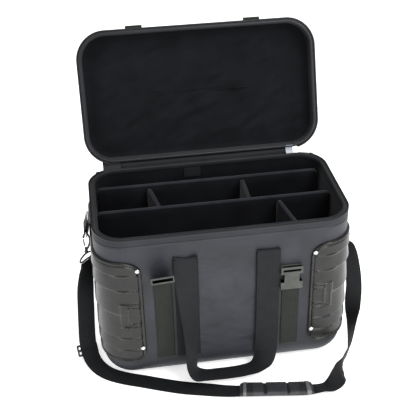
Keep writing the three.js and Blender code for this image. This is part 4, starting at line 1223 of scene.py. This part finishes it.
@dataclass
class Lid:
    """The lid: a shallow foam-walled tray that stands open on the fabric hinge."""

    wrinkle: float = 2.8

    def shell(self) -> None:
        """The cloth shell, drawn closed and then turned open."""
        top = LID_SPLIT + LID_HEIGHT
        flat = levels((120, top), (30, top), 12)
        profile = [*flat, *quarter(LID_EDGE_RADIUS, 0, top, -1), *zip_step(LID_SPLIT, -1),
                   *quarter(LID_EDGE_RADIUS - FOAM, FOAM, top - FOAM, -1, 6)[::-1]]
        rings = tray(profile)
        roof = slice(0, len(flat))
        rings[roof, :, 2] += 0.5 * smooth_noise(rings[roof, :, 0], rings[roof, :, 1], size=90, seed=11)
        placed(lofted("lid_shell_cloth", opened(rings), "case_cloth"), "lid", "case_cloth", "lid_shell")

    def lining(self) -> None:
        """The lining's broad panel lies loosely, with long slanting waves that fade out at its edges."""
        outer, inner = FOAM + GAP, FOAM + LINING
        top, low = LID_SPLIT + LID_HEIGHT, LID_SPLIT + FOAM_SHORT
        round_in = quarter(LID_EDGE_RADIUS - inner, inner, top - inner, -1, 8)[::-1]
        middle = levels((28, top - inner), (146, top - inner), 34)
        profile = [*quarter(LID_EDGE_RADIUS - outer, outer, top - outer, -1, 6),
                   *levels((outer, top - 30), (outer, low), 3), *levels((inner, low), (inner, top - 26), 6),
                   *round_in, *middle]
        rings = tray(profile)
        panel = slice(len(profile) - len(middle), len(profile))
        x, y = rings[panel, :, 0], rings[panel, :, 1]
        inset = np.array([p[0] for p in profile])[panel, None]
        relief = (smooth_noise(x, y, size=80, seed=21, lean=50, stretch=3.5)
                  + 0.8 * smooth_noise(x, y, size=34, seed=22, lean=58, stretch=4.0))
        fade = np.clip((inset - 24) / 30, 0, 1)
        rings[panel, :, 2] -= (0.2 + np.maximum(relief, -0.9) + 0.9) * self.wrinkle * fade
        piece = lofted("lid_lining_velour", opened(rings), "velour", sharp=None)
        placed(piece, "lid", "velour", "lid_lining")

    def build(self) -> None:
        """Makes every piece of the lid."""
        self.shell()
        self.lining()
        binding("lid_rim_binding_tape", LID_SPLIT, -1, "lid", "lid_rim_binding", True)
        zip_half("lid_zip_half", LID_SPLIT, -1, "lid", "lid_zip", True)


@dataclass
class Hinge:
    """The fabric hinge, and the two patches that close the zip's ends. Each is shaped round the hinge where
    the lid stands open.
    """

    left_patch: tuple[float, float] = (-234, -194)
    right_patch: tuple[float, float] = (190, 207)
    # Where the cloth starts to turn with the lid, and where it moves wholly with it, in metres.
    bend_start: tuple[float, float, float] = (0, 0.1494, 0.364)
    bend_end: tuple[float, float, float] = (0, 0.1584, 0.3768)

    def band(self, name: str, left: float, right: float, line: list, finish: str, thickness: float,
             *nodes: str) -> Object:
        """A strip of cloth from one x to another along a smooth line of y and z, bent round the hinge where
        the lid stands open.

        Args:
            name: The piece's name.
            left: Its left edge.
            right: Its right edge.
            line: Points of y and z.
            finish: The finish's key.
            thickness: How thick it is.
            nodes: CAD nodes that it replaces.

        Returns:
            The new piece.
        """
        path = spline([(0, y, z) for y, z in line], 40)
        off = unit(np.cross(unit(np.gradient(path, axis=0)), [1.0, 0, 0]))
        x = np.linspace(left, right, max(int((right - left) / 6), 4))
        grid = np.stack([np.broadcast_to(x[None], (len(path), len(x))), *(np.broadcast_to(
            path[:, k, None], (len(path), len(x))) for k in (1, 2))], axis=-1)
        sag = 0.4 * smooth_noise(grid[..., 0], grid[..., 2], size=40, seed=31)[..., None] * off[:, None]
        outer = grid + sag
        piece = sheet_piece(name, outer, outer + off[:, None] * thickness, finish)
        if nodes:
            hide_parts(*nodes)
        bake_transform(piece)
        LOG.info("built %s across the hinge", name)
        return piece

    def build(self) -> None:
        """Makes the hinge panel and the patches."""
        wall = HALF_DEPTH + GAP + 0.2
        up = [opened(np.array([0, wall, CASE_HEIGHT + z]))[1:] for z in (9, 20, 34)]
        line = [(wall, CASE_HEIGHT - 34), (wall, CASE_HEIGHT - 12), (wall, CASE_HEIGHT - 3), *up]
        self.band("hinge_cloth_panel", -HINGE_HALF_LENGTH, HINGE_HALF_LENGTH, line, "hinge", -1.0,
                  "hinge_panel")
        inner = [opened(np.array([0, HALF_DEPTH - 15, CASE_HEIGHT + z]))[1:] for z in (6, 14)]
        tuck = [(HALF_DEPTH - 14.4, CASE_HEIGHT - 9), (HALF_DEPTH - 14.0, CASE_HEIGHT - 1),
                (HALF_DEPTH - 5, CASE_HEIGHT + 2.4), (HINGE_Y + 3, HINGE_Z + 4.5), inner[0], inner[1]]
        self.band("zip_end_patch_left", *self.left_patch, tuck, "hinge", 0.9)
        lap = opened(np.array([0, HALF_DEPTH - 8, CASE_HEIGHT + 1.2]))[1:]
        rest = [(HALF_DEPTH - 8, CASE_HEIGHT + 0.6), (HALF_DEPTH - 3, CASE_HEIGHT + 1.6),
                (HINGE_Y + 2, HINGE_Z + 3), lap]
        # This patch is pale grey as a painted highlight, where it catches the light; the left one stays in
        # the dark hinge cloth.
        self.band("zip_end_patch_right", *self.right_patch, rest, "patch", 0.9)


# ------------------------------------------------------------------------------ guards and rivets
@dataclass
class EndGuard:
    """A moulded guard that wraps one end of the case. Its relief is a lip round the edge, stepped plates
    round the end, and thin raised lines with a bracket between them near the front and back edges."""

    side: Side
    edge_x: float = 178.0
    bottom: float = 55.0
    top: float = 320.0
    gap: float = 0.8
    wall: float = 3.2
    low_corner: float = 26.0
    high_corner: tuple[float, float] = (42.0, 34.0)
    # The lower edges of the plates, and the ends of each raised line as distance in from the edge and z.
    grooves: tuple[float, ...] = (287.0, 248.0, 184.0, 121.0, 90.0)
    lines: tuple[tuple[float, float], ...] = (
        (10, 287), (70, 287), (10, 248), (54, 248), (10, 213), (46, 213), (46, 213), (46, 153), (46, 153),
        (10, 153), (10, 203), (31, 203), (31, 203), (31, 163), (31, 163), (10, 163), (10, 121), (54, 121),
        (10, 88), (66, 88))
    line_width: float = 2.1
    line_height: float = 2.7
    plate_height: float = 5.6
    columns: int = 220
    rows: int = 190

    def span(self, inward: np.ndarray) -> tuple[np.ndarray, np.ndarray]:
        """The lowest and highest z at a distance in from the front or back edge: a quarter ellipse at
        each corner."""
        reach, fall = self.high_corner
        rise = 1 - np.sqrt(1 - (1 - np.minimum(inward / self.low_corner, 1)) ** 2)
        drop = 1 - np.sqrt(1 - (1 - np.minimum(inward / reach, 1)) ** 2)
        return self.bottom + self.low_corner * rise, self.top - fall * drop

    def ridge(self, inward: np.ndarray, z: np.ndarray, first: tuple[float, float],
              last: tuple[float, float]) -> np.ndarray:
        """A thin raised line between two points of the face: a bell curve of the distance to it.

        Args:
            inward: Distance in from the nearer end.
            z: Height.
            first: Where it starts, as inward and z.
            last: Where it ends.

        Returns:
            A height from 0 to 1.
        """
        du, dz = last[0] - first[0], last[1] - first[1]
        t = np.clip(((inward - first[0]) * du + (z - first[1]) * dz) / (du * du + dz * dz), 0, 1)
        away = np.hypot(inward - first[0] - t * du, z - first[1] - t * dz)
        return np.exp(-(away / self.line_width) ** 2)

    def relief(self, inward: np.ndarray, z: np.ndarray, edge: np.ndarray) -> np.ndarray:
        """How far the face stands proud of its plain wall. Round the end it is stepped plates, each
        fullest at its lower edge; on the front and back it is nearly flat with thin raised lines.

        Args:
            inward: Distance in from the nearer end.
            z: Height.
            edge: Distance in from the nearest edge.

        Returns:
            The relief in millimetres.
        """
        # A bead along the edge with a groove behind it, then the field, which is 1 away from both.
        lip = 1.7 * np.exp(-((edge - 2.8) / 2.2) ** 2) - 1.8 * np.exp(-((edge - 7.6) / 1.5) ** 2)
        field = np.clip((edge - 9) / 4, 0, 1)
        # 1 round the end of the case and 0 on its front and back.
        round_end = 1 / (1 + np.exp(-(inward - 58) / 5.0))
        marks = np.array([self.bottom, *sorted(self.grooves), self.top])
        k = np.clip(np.searchsorted(marks, z) - 1, 0, len(marks) - 2)
        t = (z - marks[k]) / (marks[k + 1] - marks[k])
        plate = np.sqrt(np.clip(t / 0.1, 0, 1)) * (1 - np.clip(t, 0, 1) ** 1.4)
        lines = sum(self.ridge(inward, z, a, b) for a, b in zip(self.lines[::2], self.lines[1::2]))
        front = 0.6 * plate + self.line_height * np.minimum(lines, 1)
        return lip + field * (round_end * (self.plate_height * plate - 2.0) + (1 - round_end) * front)

    def build(self) -> None:
        """Makes the guard as a wall between its moulded face and its smooth back."""
        total = OUTLINE_HALF - 2 * self.edge_x
        s = total * np.linspace(0, 1, self.columns)
        at = outline_at(-self.side.value * (self.edge_x + s))
        inward = np.minimum(s, total - s)
        low, high = self.span(inward)
        k = np.linspace(0, 1, self.rows)[None]
        z = low[:, None] + (high - low)[:, None] * k
        wide = np.broadcast_to(inward[:, None], z.shape)
        edge = np.minimum(np.minimum(z - low[:, None], high[:, None] - z), wide)
        lip = 1.6 * (1 - np.sqrt(1 - (1 - np.clip(edge / 1.6, 0, 1)) ** 2))
        out = self.gap + self.wall - lip + self.relief(wide, z, edge) * np.clip(edge / 2.0, 0, 1)
        outer = np.stack([at[:, None, 0] + at[:, None, 2] * out, at[:, None, 1] + at[:, None, 3] * out, z],
                         axis=-1)
        inner = np.stack([at[:, None, 0] + at[:, None, 2] * self.gap + 0 * z,
                          at[:, None, 1] + at[:, None, 3] * self.gap + 0 * z, z], axis=-1)
        name = f"end_guard_{self.side.word}"
        piece = sheet_piece(name + "_moulding", outer, inner, "guard", sharp=60)
        placed(piece, "case", "guard_plastic", name)


@dataclass
class Rivets:
    """Bright domed rivets that hold the guards: a flat flange, a soft dome and a dimple."""

    x: float = 186.0
    heights: tuple[float, float] = (297.5, 91.5)
    radius: float = 5.0
    stand: float = 4.6

    def build(self) -> None:
        """Makes the eight rivets: their heads' profile as shares of the radius, and height."""
        r = self.radius
        dome = [(r * 0.98, 0), (r, 0.3), (r * 0.96, 0.8), (r * 0.86, 1.0), (r * 0.8, 1.5), (r * 0.62, 2.2),
                (r * 0.36, 2.7), (r * 0.2, 2.75), (r * 0.12, 2.5), (0.02, 2.45)]
        for face in Face:
            for side in Side:
                for level, z in zip(("upper", "lower"), self.heights):
                    rings = turned(dome)
                    out = face.value * (HALF_DEPTH + self.stand + rings[..., 2])
                    points = np.stack([side.value * self.x + rings[..., 0], out, z + rings[..., 1]], axis=-1)
                    name = f"rivet_{face.word}_{side.word}_{level}"
                    placed(lofted(name + "_head", points, "bright_metal"), "case", "bright_steel", name)


# ------------------------------------------------------------------------------ handles
@dataclass
class Handle:
    """A carrying handle: two legs sewn down the wall and a loop that folds over and hangs."""

    face: Face
    x: float = 86.0
    web: float = 50.0
    thickness: float = 2.4
    fold_z: float = 318.0
    sewn_bottom: float = 54.0
    # The middle line's x, distance out from the wall and z, with the direction across the webbing.
    route: tuple = (
        (86, 5.4, 317, 1, 0, 0), (86, 6.0, 270, 1, 0, 0), (85.5, 6.6, 210, 1, 0, 0),
        (85, 7.2, 150, 1, 0, 0), (84, 8.5, 97, 1, 0.03, 0), (82, 11.5, 58, 0.97, 0.2, 0.05),
        (75, 17, 32, 0.8, 0.55, 0.2), (58, 25, 19.2, 0.4, 0.88, 0.25), (30, 29, 15.6, 0.12, 0.96, 0.25),
        (0, 30.5, 15.2, 0, 0.97, 0.25), (-30, 30.5, 15.4, -0.1, 0.96, 0.25),
        (-56, 30.5, 17.5, -0.25, 0.93, 0.27), (-75, 30.5, 27, -0.42, 0.88, 0.22),
        (-83.5, 29, 55, -0.52, 0.85, 0.1), (-83.5, 26, 97, -0.57, 0.82, 0.02),
        (-83, 21, 150, -0.7, 0.71, 0), (-84, 14.5, 210, -0.92, 0.38, 0), (-87.5, 7.5, 270, -1, 0.06, 0),
        (-88, 5.4, 317, -1, 0, 0))
    fold_radius: float = 1.9
    box_height: float = 40.0
    creases: tuple[float, float] = (299.0, 222.0)

    def leg(self, side: Side) -> None:
        """A sewn leg, with its top turned over to meet the loop."""
        f = self.face.value
        x = side.value * self.x
        base = HALF_DEPTH + GAP + self.thickness / 2
        line = [(x, f * base, self.sewn_bottom + 1), (x, f * base, 180), (x, f * base, self.fold_z - 5)]
        ribbon = Ribbon.through([(*p, 1, 0, 0) for p in line], 60)
        section = strip_section(self.web, self.thickness)
        name = f"{self.face.word}_handle_leg_{side.word}"
        piece = woven(name + "_webbing", ribbon, section, "handle")
        placed(piece, "case", "webbing", name)
        a = np.linspace(0, math.pi, 7)
        lead = self.route[0 if side is Side.RIGHT else -1][0] - x
        arc = [(x + lead * t / math.pi, f * (base + self.fold_radius * (1 - math.cos(t))),
                self.fold_z - 4 + 3.2 * math.sin(t), 1, 0, 0) for t in a]
        fold = Ribbon.through(arc, 14)
        piece = woven(name + "_fold", fold, section, "handle")
        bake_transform(piece)
        top, reach = self.fold_z - 8, self.web / 2 - 4
        low, high = self.sewn_bottom + 4, self.sewn_bottom + 4 + self.box_height
        y = f * (base + self.thickness / 2)
        left, right = x - reach, x + reach
        box = [(left, y, low), (right, y, low), (right, y, high), (left, y, high), (left, y, low)]
        cross = [[(left, y, low), (right, y, high)], [(right, y, low), (left, y, high)]]
        edges = [[(at, y, high), (at, y, top)] for at in (left, right)]
        rows = [np.array(r, float) for r in (box, *cross, *edges)]
        stitched(name + "_stitching", rows, [np.array([0, f, 0.0])] * len(rows), "case")

    def loop(self) -> None:
        """The free loop: webbing along its route, with creases pressed across it where it was folded."""
        f = self.face.value
        route = [(x, f * (HALF_DEPTH + out), z, ax, f * ao, az) for x, out, z, ax, ao, az in self.route]
        ribbon = Ribbon.through(route, 260, self.web)
        z = ribbon.centre[:, 2]
        crease = sum(np.exp(-((z - at) / 2.2) ** 2) for at in self.creases)
        ribbon.centre[:, 1] -= f * crease * 0.6
        section = strip_section(self.web, self.thickness, 10)
        name = f"{self.face.word}_handle_loop"
        piece = woven(name + "_webbing", ribbon, section, "handle")
        placed(piece, f"{self.face.word}_handle", "webbing", name)

    def build(self) -> None:
        """Makes the legs and the loop."""
        for side in Side:
            self.leg(side)
        self.loop()


# ------------------------------------------------------------------------------ buckles
@dataclass
class BuckleStrap:
    """A side-release buckle: the socket on its webbing in front, and the plug on a tail that is sewn to
    the lid and hangs from its edge."""

    side: Side
    x: float = 135.5
    web: float = 38.0
    thickness: float = 2.4
    bottom: float = 216.0
    sewn_bottom: float = 54.0
    cross_rows: tuple[float, ...] = (60.0, 96.0, 176.0, 208.0)
    # The left socket has flopped forward: the point that it turned about, its lean and its twist in
    # degrees.
    pivot: tuple[float, float, float] = (-139.5, -156.5, 279.0)
    lean: float = 54.0
    twist: float = 3.0
    # How far in from the socket's lowest and highest corners a face lies before it counts as inside and takes
    # the black painted shade.
    in_from_low: tuple[float, float, float] = (2.2, 2.2, 3.0)
    in_from_high: tuple[float, float, float] = (2.2, 2.2, 1.6)

    def front(self) -> None:
        """The sewn webbing and the socket."""
        x = self.side.value * self.x
        y = -(HALF_DEPTH + GAP + self.thickness / 2)
        up = [(x, y, z, 1, 0, 0) for z in (self.sewn_bottom + 1, 130, self.bottom - 16, self.bottom - 2)]
        if self.side is Side.LEFT:
            up += [(x - 1, y, 240, 1, 0, 0), (x - 2.4, y - 0.3, 258, 1, 0, 0),
                   (x - 3.5, y - 2.2, 267, 1, 0, 0), (x - 4, y - 5.6, 271.2, 1, 0.03, 0),
                   (x - 4, y - 11, 275.4, 1, 0.04, 0)]
        ribbon = Ribbon.through(up, 60)
        section = strip_section(self.web, self.thickness)
        name = f"buckle_webbing_{self.side.word}"
        piece = woven(name + "_sewn", ribbon, section, "belt")
        placed(piece, "case", "webbing", name)
        reach, front = self.web / 2 - 3.5, y - self.thickness / 2
        rows = [np.array([(at, front, self.sewn_bottom + 4), (at, front, self.bottom - 6)])
                for at in (x - reach, x + reach)]
        rows += [np.array([(x - reach, front, z), (x + reach, front, z)]) for z in self.cross_rows]
        stitched(name + "_stitching", rows, [np.array([0, -1.0, 0])] * len(rows), "case")
        socket = f"buckle_socket_{self.side.word}"
        moulding = rounded_copy(socket, socket + "_moulding", "buckle", 1.3)
        self.shade_inside(moulding)
        placed(moulding, "case", "buckle_plastic", socket)

    def shade_inside(self, moulding: Object) -> None:
        """Paints the walls inside the socket a dead black as painted shade, for the light that falls into it
        is lost. The left socket's faces are first turned back upright and set on the right one's corner.

        Args:
            moulding: The socket.
        """
        low, high = (np.array(corner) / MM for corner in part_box("buckle_socket_right"))
        size = high - low
        mesh = moulding.data
        middles = np.empty(len(mesh.polygons) * 3)
        mesh.polygons.foreach_get("center", middles)
        local = middles.reshape(-1, 3) / MM
        if self.side is Side.LEFT:
            lean, twist = math.radians(-self.lean), math.radians(-self.twist)
            local = local - self.pivot
            y, z = local[:, 1].copy(), local[:, 2].copy()
            local[:, 1] = y * math.cos(lean) - z * math.sin(lean)
            local[:, 2] = y * math.sin(lean) + z * math.cos(lean)
            x, y = local[:, 0].copy(), local[:, 1].copy()
            local[:, 0] = x * math.cos(twist) - y * math.sin(twist)
            local[:, 1] = x * math.sin(twist) + y * math.cos(twist)
            local += [size[0] / 2, size[1], 0]
        else:
            local = local - low
        # Faces deep inside the socket take the black painted shade.
        deep = np.all((local > self.in_from_low) & (local < size - self.in_from_high), axis=1)
        mesh.materials.append(material_of("socket_painted_shade"))
        mesh.polygons.foreach_set("material_index", deep.astype(np.int32))

    def tail(self) -> None:
        """The anchor on the lid, the hanging tail and the plug."""
        x = self.side.value * self.x
        top = LID_SPLIT + LID_HEIGHT + GAP
        line = [(90, top + 1.2), (60, top + 1.2), (27, top + 1.2), (10, top + 1.0), (-2, top - 0.3)]
        flat = np.array([(x, y - HALF_DEPTH, z) for y, z in line], float)
        route = np.hstack([opened(flat), np.tile([1.0, 0, 0], (len(flat), 1))])
        ribbon = Ribbon.through(route, 40)
        section = strip_section(self.web, self.thickness)
        word = self.side.word
        piece = woven(f"tail_anchor_{word}_sewn", ribbon, section, "belt")
        placed(piece, "lid", "webbing", f"tail_anchor_{word}")
        low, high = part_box(f"tail_webbing_{word}")
        middle = (np.array(low) + np.array(high)) / 2 / MM
        ends = [high.z / MM + 2.2, middle[2], low.z / MM]
        hang = Ribbon.through([(middle[0], middle[1], z, 1, 0, 0) for z in ends], 30)
        piece = woven(f"tail_webbing_{word}_strap", hang, section, "belt")
        placed(piece, f"tail_{word}", "webbing", f"tail_webbing_{word}")
        plug = f"buckle_plug_{word}"
        moulded(plug, plug + "_moulding", "buckle", 1.0, f"tail_{word}", "buckle_plastic")

    def build(self) -> None:
        """Makes both halves."""
        self.front()
        self.tail()


# ------------------------------------------------------------------------------ end fittings
@dataclass
class EndFittings:
    """What hangs at one end of the case: webbing tab, bright ring, black snap hook with its gate, and the
    flat loop that the strap folds through."""

    side: Side
    web: float = 38.0
    thickness: float = 2.2
    ring_x: float = HALF_WIDTH + 13.5
    ring_bottom: float = 295.5
    tab_bottom: float = 316.0
    wire: float = 1.6
    lean: float = math.radians(6)
    hook_turn: float = math.radians(-35)
    loop_turn: float = math.radians(50)

    def hung(self, points: np.ndarray, turn: float) -> np.ndarray:
        """Turns points about the hook's length, leans them out from the wall and hangs them on the ring."""
        s = self.side.value
        a, b = -s * turn, -s * self.lean
        about = np.array([[math.cos(a), -math.sin(a), 0], [math.sin(a), math.cos(a), 0], [0, 0, 1]])
        tilt = np.array([[math.cos(b), 0, math.sin(b)], [0, 1, 0], [-math.sin(b), 0, math.cos(b)]])
        return points @ (tilt @ about).T + [s * self.ring_x, 0, self.ring_bottom]

    def tab(self) -> None:
        """The tab: one strip of webbing that runs down, round the ring's bar and up again."""
        s, r = self.side.value, self.ring_x
        line = [(-7.6, 346), (-7.2, 334), (-5.6, 322), (-3.6, 315), (0, 311.6), (3.2, 314.4), (2.8, 320),
                (0.2, 327), (-2.6, 334), (-4.4, 346)]
        route = [(s * (r + x), 0, z - 1.0, 0, 1, 0) for x, z in line]
        ribbon = Ribbon.through(route, 60)
        section = strip_section(self.web, self.thickness)
        name = f"side_tab_{self.side.word}"
        piece = woven(name + "_webbing", ribbon, section, "strap")
        placed(piece, "case", "webbing", name)
        x = s * (r - 1.6)
        box = np.array([(x, -15, 330), (x, 15, 330), (x, 15, 341), (x, -15, 341), (x, -15, 330)], float)
        stitched(name + "_stitching", [box], [np.array([s, 0.0, 0])], "case")

    def metal(self) -> None:
        """The ring, hook, gate and loop."""
        word, x = self.side.word, self.side.value * self.ring_x
        top = self.tab_bottom - self.wire - 3 * GAP
        ring = [(x, -18, top), (x, 0, top), (x, 18, top), (x, 20, top - 3.5), (x, 15, top - 12),
                (x, 0, self.ring_bottom), (x, -15, top - 12), (x, -20, top - 3.5)]
        piece = lofted(f"side_ring_{word}_wire", tube(ring, self.wire, 96, True), "bright_metal", loop=True,
                       sharp=None)
        placed(piece, "case", "bright_steel", f"side_ring_{word}")
        drop = [(3.5, 0, -32), (7, 0, -22), (8.2, 0, -11), (6.2, 0, -1), (0, 0, 5), (-6.2, 0, -1),
                (-8, 0, -9)]
        grow = 2.0 + 0.5 * np.linspace(1, -1, 61) ** 2
        hook = lofted(f"snap_hook_{word}_bar", self.hung(tube(drop, grow, 60), self.hook_turn), "black_metal",
                      sharp=None)
        placed(hook, "case", "hardware_black", f"snap_hook_{word}")
        barrel = turned([(2.6, -32.2), (3.8, -32.6), (4.0, -33.6), (3.6, -35), (3.6, -41), (4.3, -42.4),
                         (4.3, -44.2), (3.2, -45)])
        placed(lofted(f"snap_hook_{word}_barrel", self.hung(barrel, self.hook_turn), "black_metal"), "case",
               "hardware_black")
        gate = tube([(-7.6, 0, -13.5), (-6.4, 0, -21), (-4.6, 0, -29)], 1.5, 20)
        placed(lofted(f"snap_gate_{word}_bar", self.hung(gate, self.hook_turn), "black_metal", sharp=None),
               f"snap_gate_{word}", "hardware_black", f"snap_gate_{word}")
        half = [(17, -63.5), (21, -60), (19.5, -54.5), (9, -48.5)]
        loop = [(0, 0, -63.5), *((a, 0, b) for a, b in half), (0, 0, -47.6),
                *((-a, 0, b) for a, b in half[::-1])]
        piece = lofted(f"swivel_loop_{word}_bar", self.hung(tube(loop, 1.9, 110, True), self.loop_turn),
                       "black_metal", loop=True, sharp=None)
        placed(piece, "case", "hardware_black", f"swivel_loop_{word}")

    def build(self) -> None:
        """Makes the tab, the metal pieces and the zip's slider and pull at this end."""
        self.tab()
        self.metal()
        word = self.side.word
        slider, pull = f"zip_slider_{word}", f"zip_pull_{word}"
        moulded(slider, slider + "_casting", "black_metal", 0.5, "case", "hardware_black")
        moulded(pull, pull + "_plate", "black_metal", 0.35, pull, "hardware_black", 2)


# ------------------------------------------------------------------------------ dividers
@dataclass
class Divider:
    """A padded board covered in brushed cloth, with a thicker rolled seam along its top."""

    name: str
    centre: tuple[float, float]
    half: float
    top: float
    radius: float
    turn: float = 0.0
    floor: float = 16.0
    wall: float = 9.0
    seam: float = 8.0
    swell: float = 0.35

    def outline(self) -> np.ndarray:
        """The board's outline: straight sides, rounded lower corners and small upper ones."""
        rows = []
        for cx, cz, r, start in ((self.half, self.floor, self.radius, -90), (self.half, self.top, 8, 0),
                                 (-self.half, self.top, 8, 90), (-self.half, self.floor, self.radius, 180)):
            sx = 1 if cx > 0 else -1
            sz = 1 if cz > self.floor else -1
            a = np.radians(start + np.linspace(0, 90, 10))
            rows.append(np.column_stack([cx - sx * r + r * np.cos(a), cz - sz * r + r * np.sin(a)]))
        line = np.vstack(rows)
        closed = np.vstack([line, line[:1]])
        run = np.concatenate([[0], np.cumsum(np.linalg.norm(np.diff(closed, axis=0), axis=1))])
        at = np.linspace(0, run[-1], 260, endpoint=False)
        return np.column_stack([np.interp(at, run, closed[:, k]) for k in range(2)])

    def build(self) -> None:
        """Makes the board: its outline drawn in step by step round a half-round edge, then over a face
        that swells gently towards the middle."""
        line = self.outline()
        middle = line.mean(0)
        inward = unit(middle - line)
        edge = [(0.5 * self.wall * (1 - math.cos(a)) * 0.9, 0.5 * self.wall * math.sin(a))
                for a in np.radians([0, 20, 40, 60, 80])]
        rings = []
        for sign in (-1, 1):
            face = []
            for share in np.linspace(0.98, 0.12, 9):
                flat = middle + (line - middle) * (1 - share)
                swell = self.wall / 2 + self.swell * math.sin(share * math.pi)
                face.append((flat, np.full(len(line), swell)))
            rim = [(line + inward * i, np.full(len(line), o)) for i, o in edge[::-1]]
            stack = face + rim[:-1] if sign < 0 else [rim[-1], *rim[:-1][::-1], *face[::-1]]
            rings += [(p, sign * o) for p, o in stack]
        grid = np.array([np.column_stack([p[:, 0], o, p[:, 1]]) for p, o in rings])
        lift = np.clip((grid[..., 2] - (self.top - self.seam + 1)) / 5, 0, 1)
        grid[..., 1] *= 1 + 0.1 * lift
        c, s = math.cos(self.turn), math.sin(self.turn)
        x = grid[..., 0] * c - grid[..., 1] * s + self.centre[0]
        y = grid[..., 0] * s + grid[..., 1] * c + self.centre[1]
        piece = lofted(self.name + "_padded", np.stack([x, y, grid[..., 2]], axis=-1), "velour", sharp=None)
        piece.data.materials.append(material_of("piping"))
        heights = np.array([p.center.z for p in piece.data.polygons]) / MM
        piece.data.polygons.foreach_set("material_index", (heights > self.top - self.seam).astype(np.int32))
        placed(piece, self.name, "velour", self.name)


def build_dividers() -> None:
    """Makes the two long dividers and the three that cross between them. Each cross divider is as long
    as the gap that it stands in, less what its skew takes up."""
    play = 1.2
    reach = HALF_WIDTH - FOAM - LINING - play
    gap = Divider.wall / 2 + 0.7
    rear_y, front_y = 99.0, 0.0
    Divider("long_divider_rear", (0, rear_y), reach - 5, 350, 34).build()
    Divider("long_divider_front", (0, front_y), reach, 350, 34).build()
    wall = -(HALF_DEPTH - FOAM - LINING - play)
    for name, x, skew, low, high, radius in (
            ("cross_divider_left", -129.0, 8, front_y + gap, rear_y - gap, 12),
            ("cross_divider_right", 76.0, 0, front_y + gap, rear_y - gap, 12),
            ("cross_divider_front", 150.0, 12, wall, front_y - gap, 38)):
        half = (high - low) / 2
        turn = math.atan2(skew, half)
        length = half / math.cos(turn) - Divider.wall * abs(math.tan(turn))
        Divider(name, (x, (low + high) / 2), length, 345, radius, math.pi / 2 + turn).build()


def main() -> None:
    """Builds the stage, then the case piece by piece."""
    logging.basicConfig(level=logging.INFO, format="%(name)s: %(message)s")
    Studio().build()
    ShoulderStrap().build()
    CaseBody().build()
    Lid().build()
    Hinge().build()
    for side in Side:
        EndGuard(side).build()
        EndFittings(side).build()
        BuckleStrap(side).build()
    Rivets().build()
    for face in Face:
        Handle(face).build()
    build_dividers()


if __name__ == "__main__":
    main()
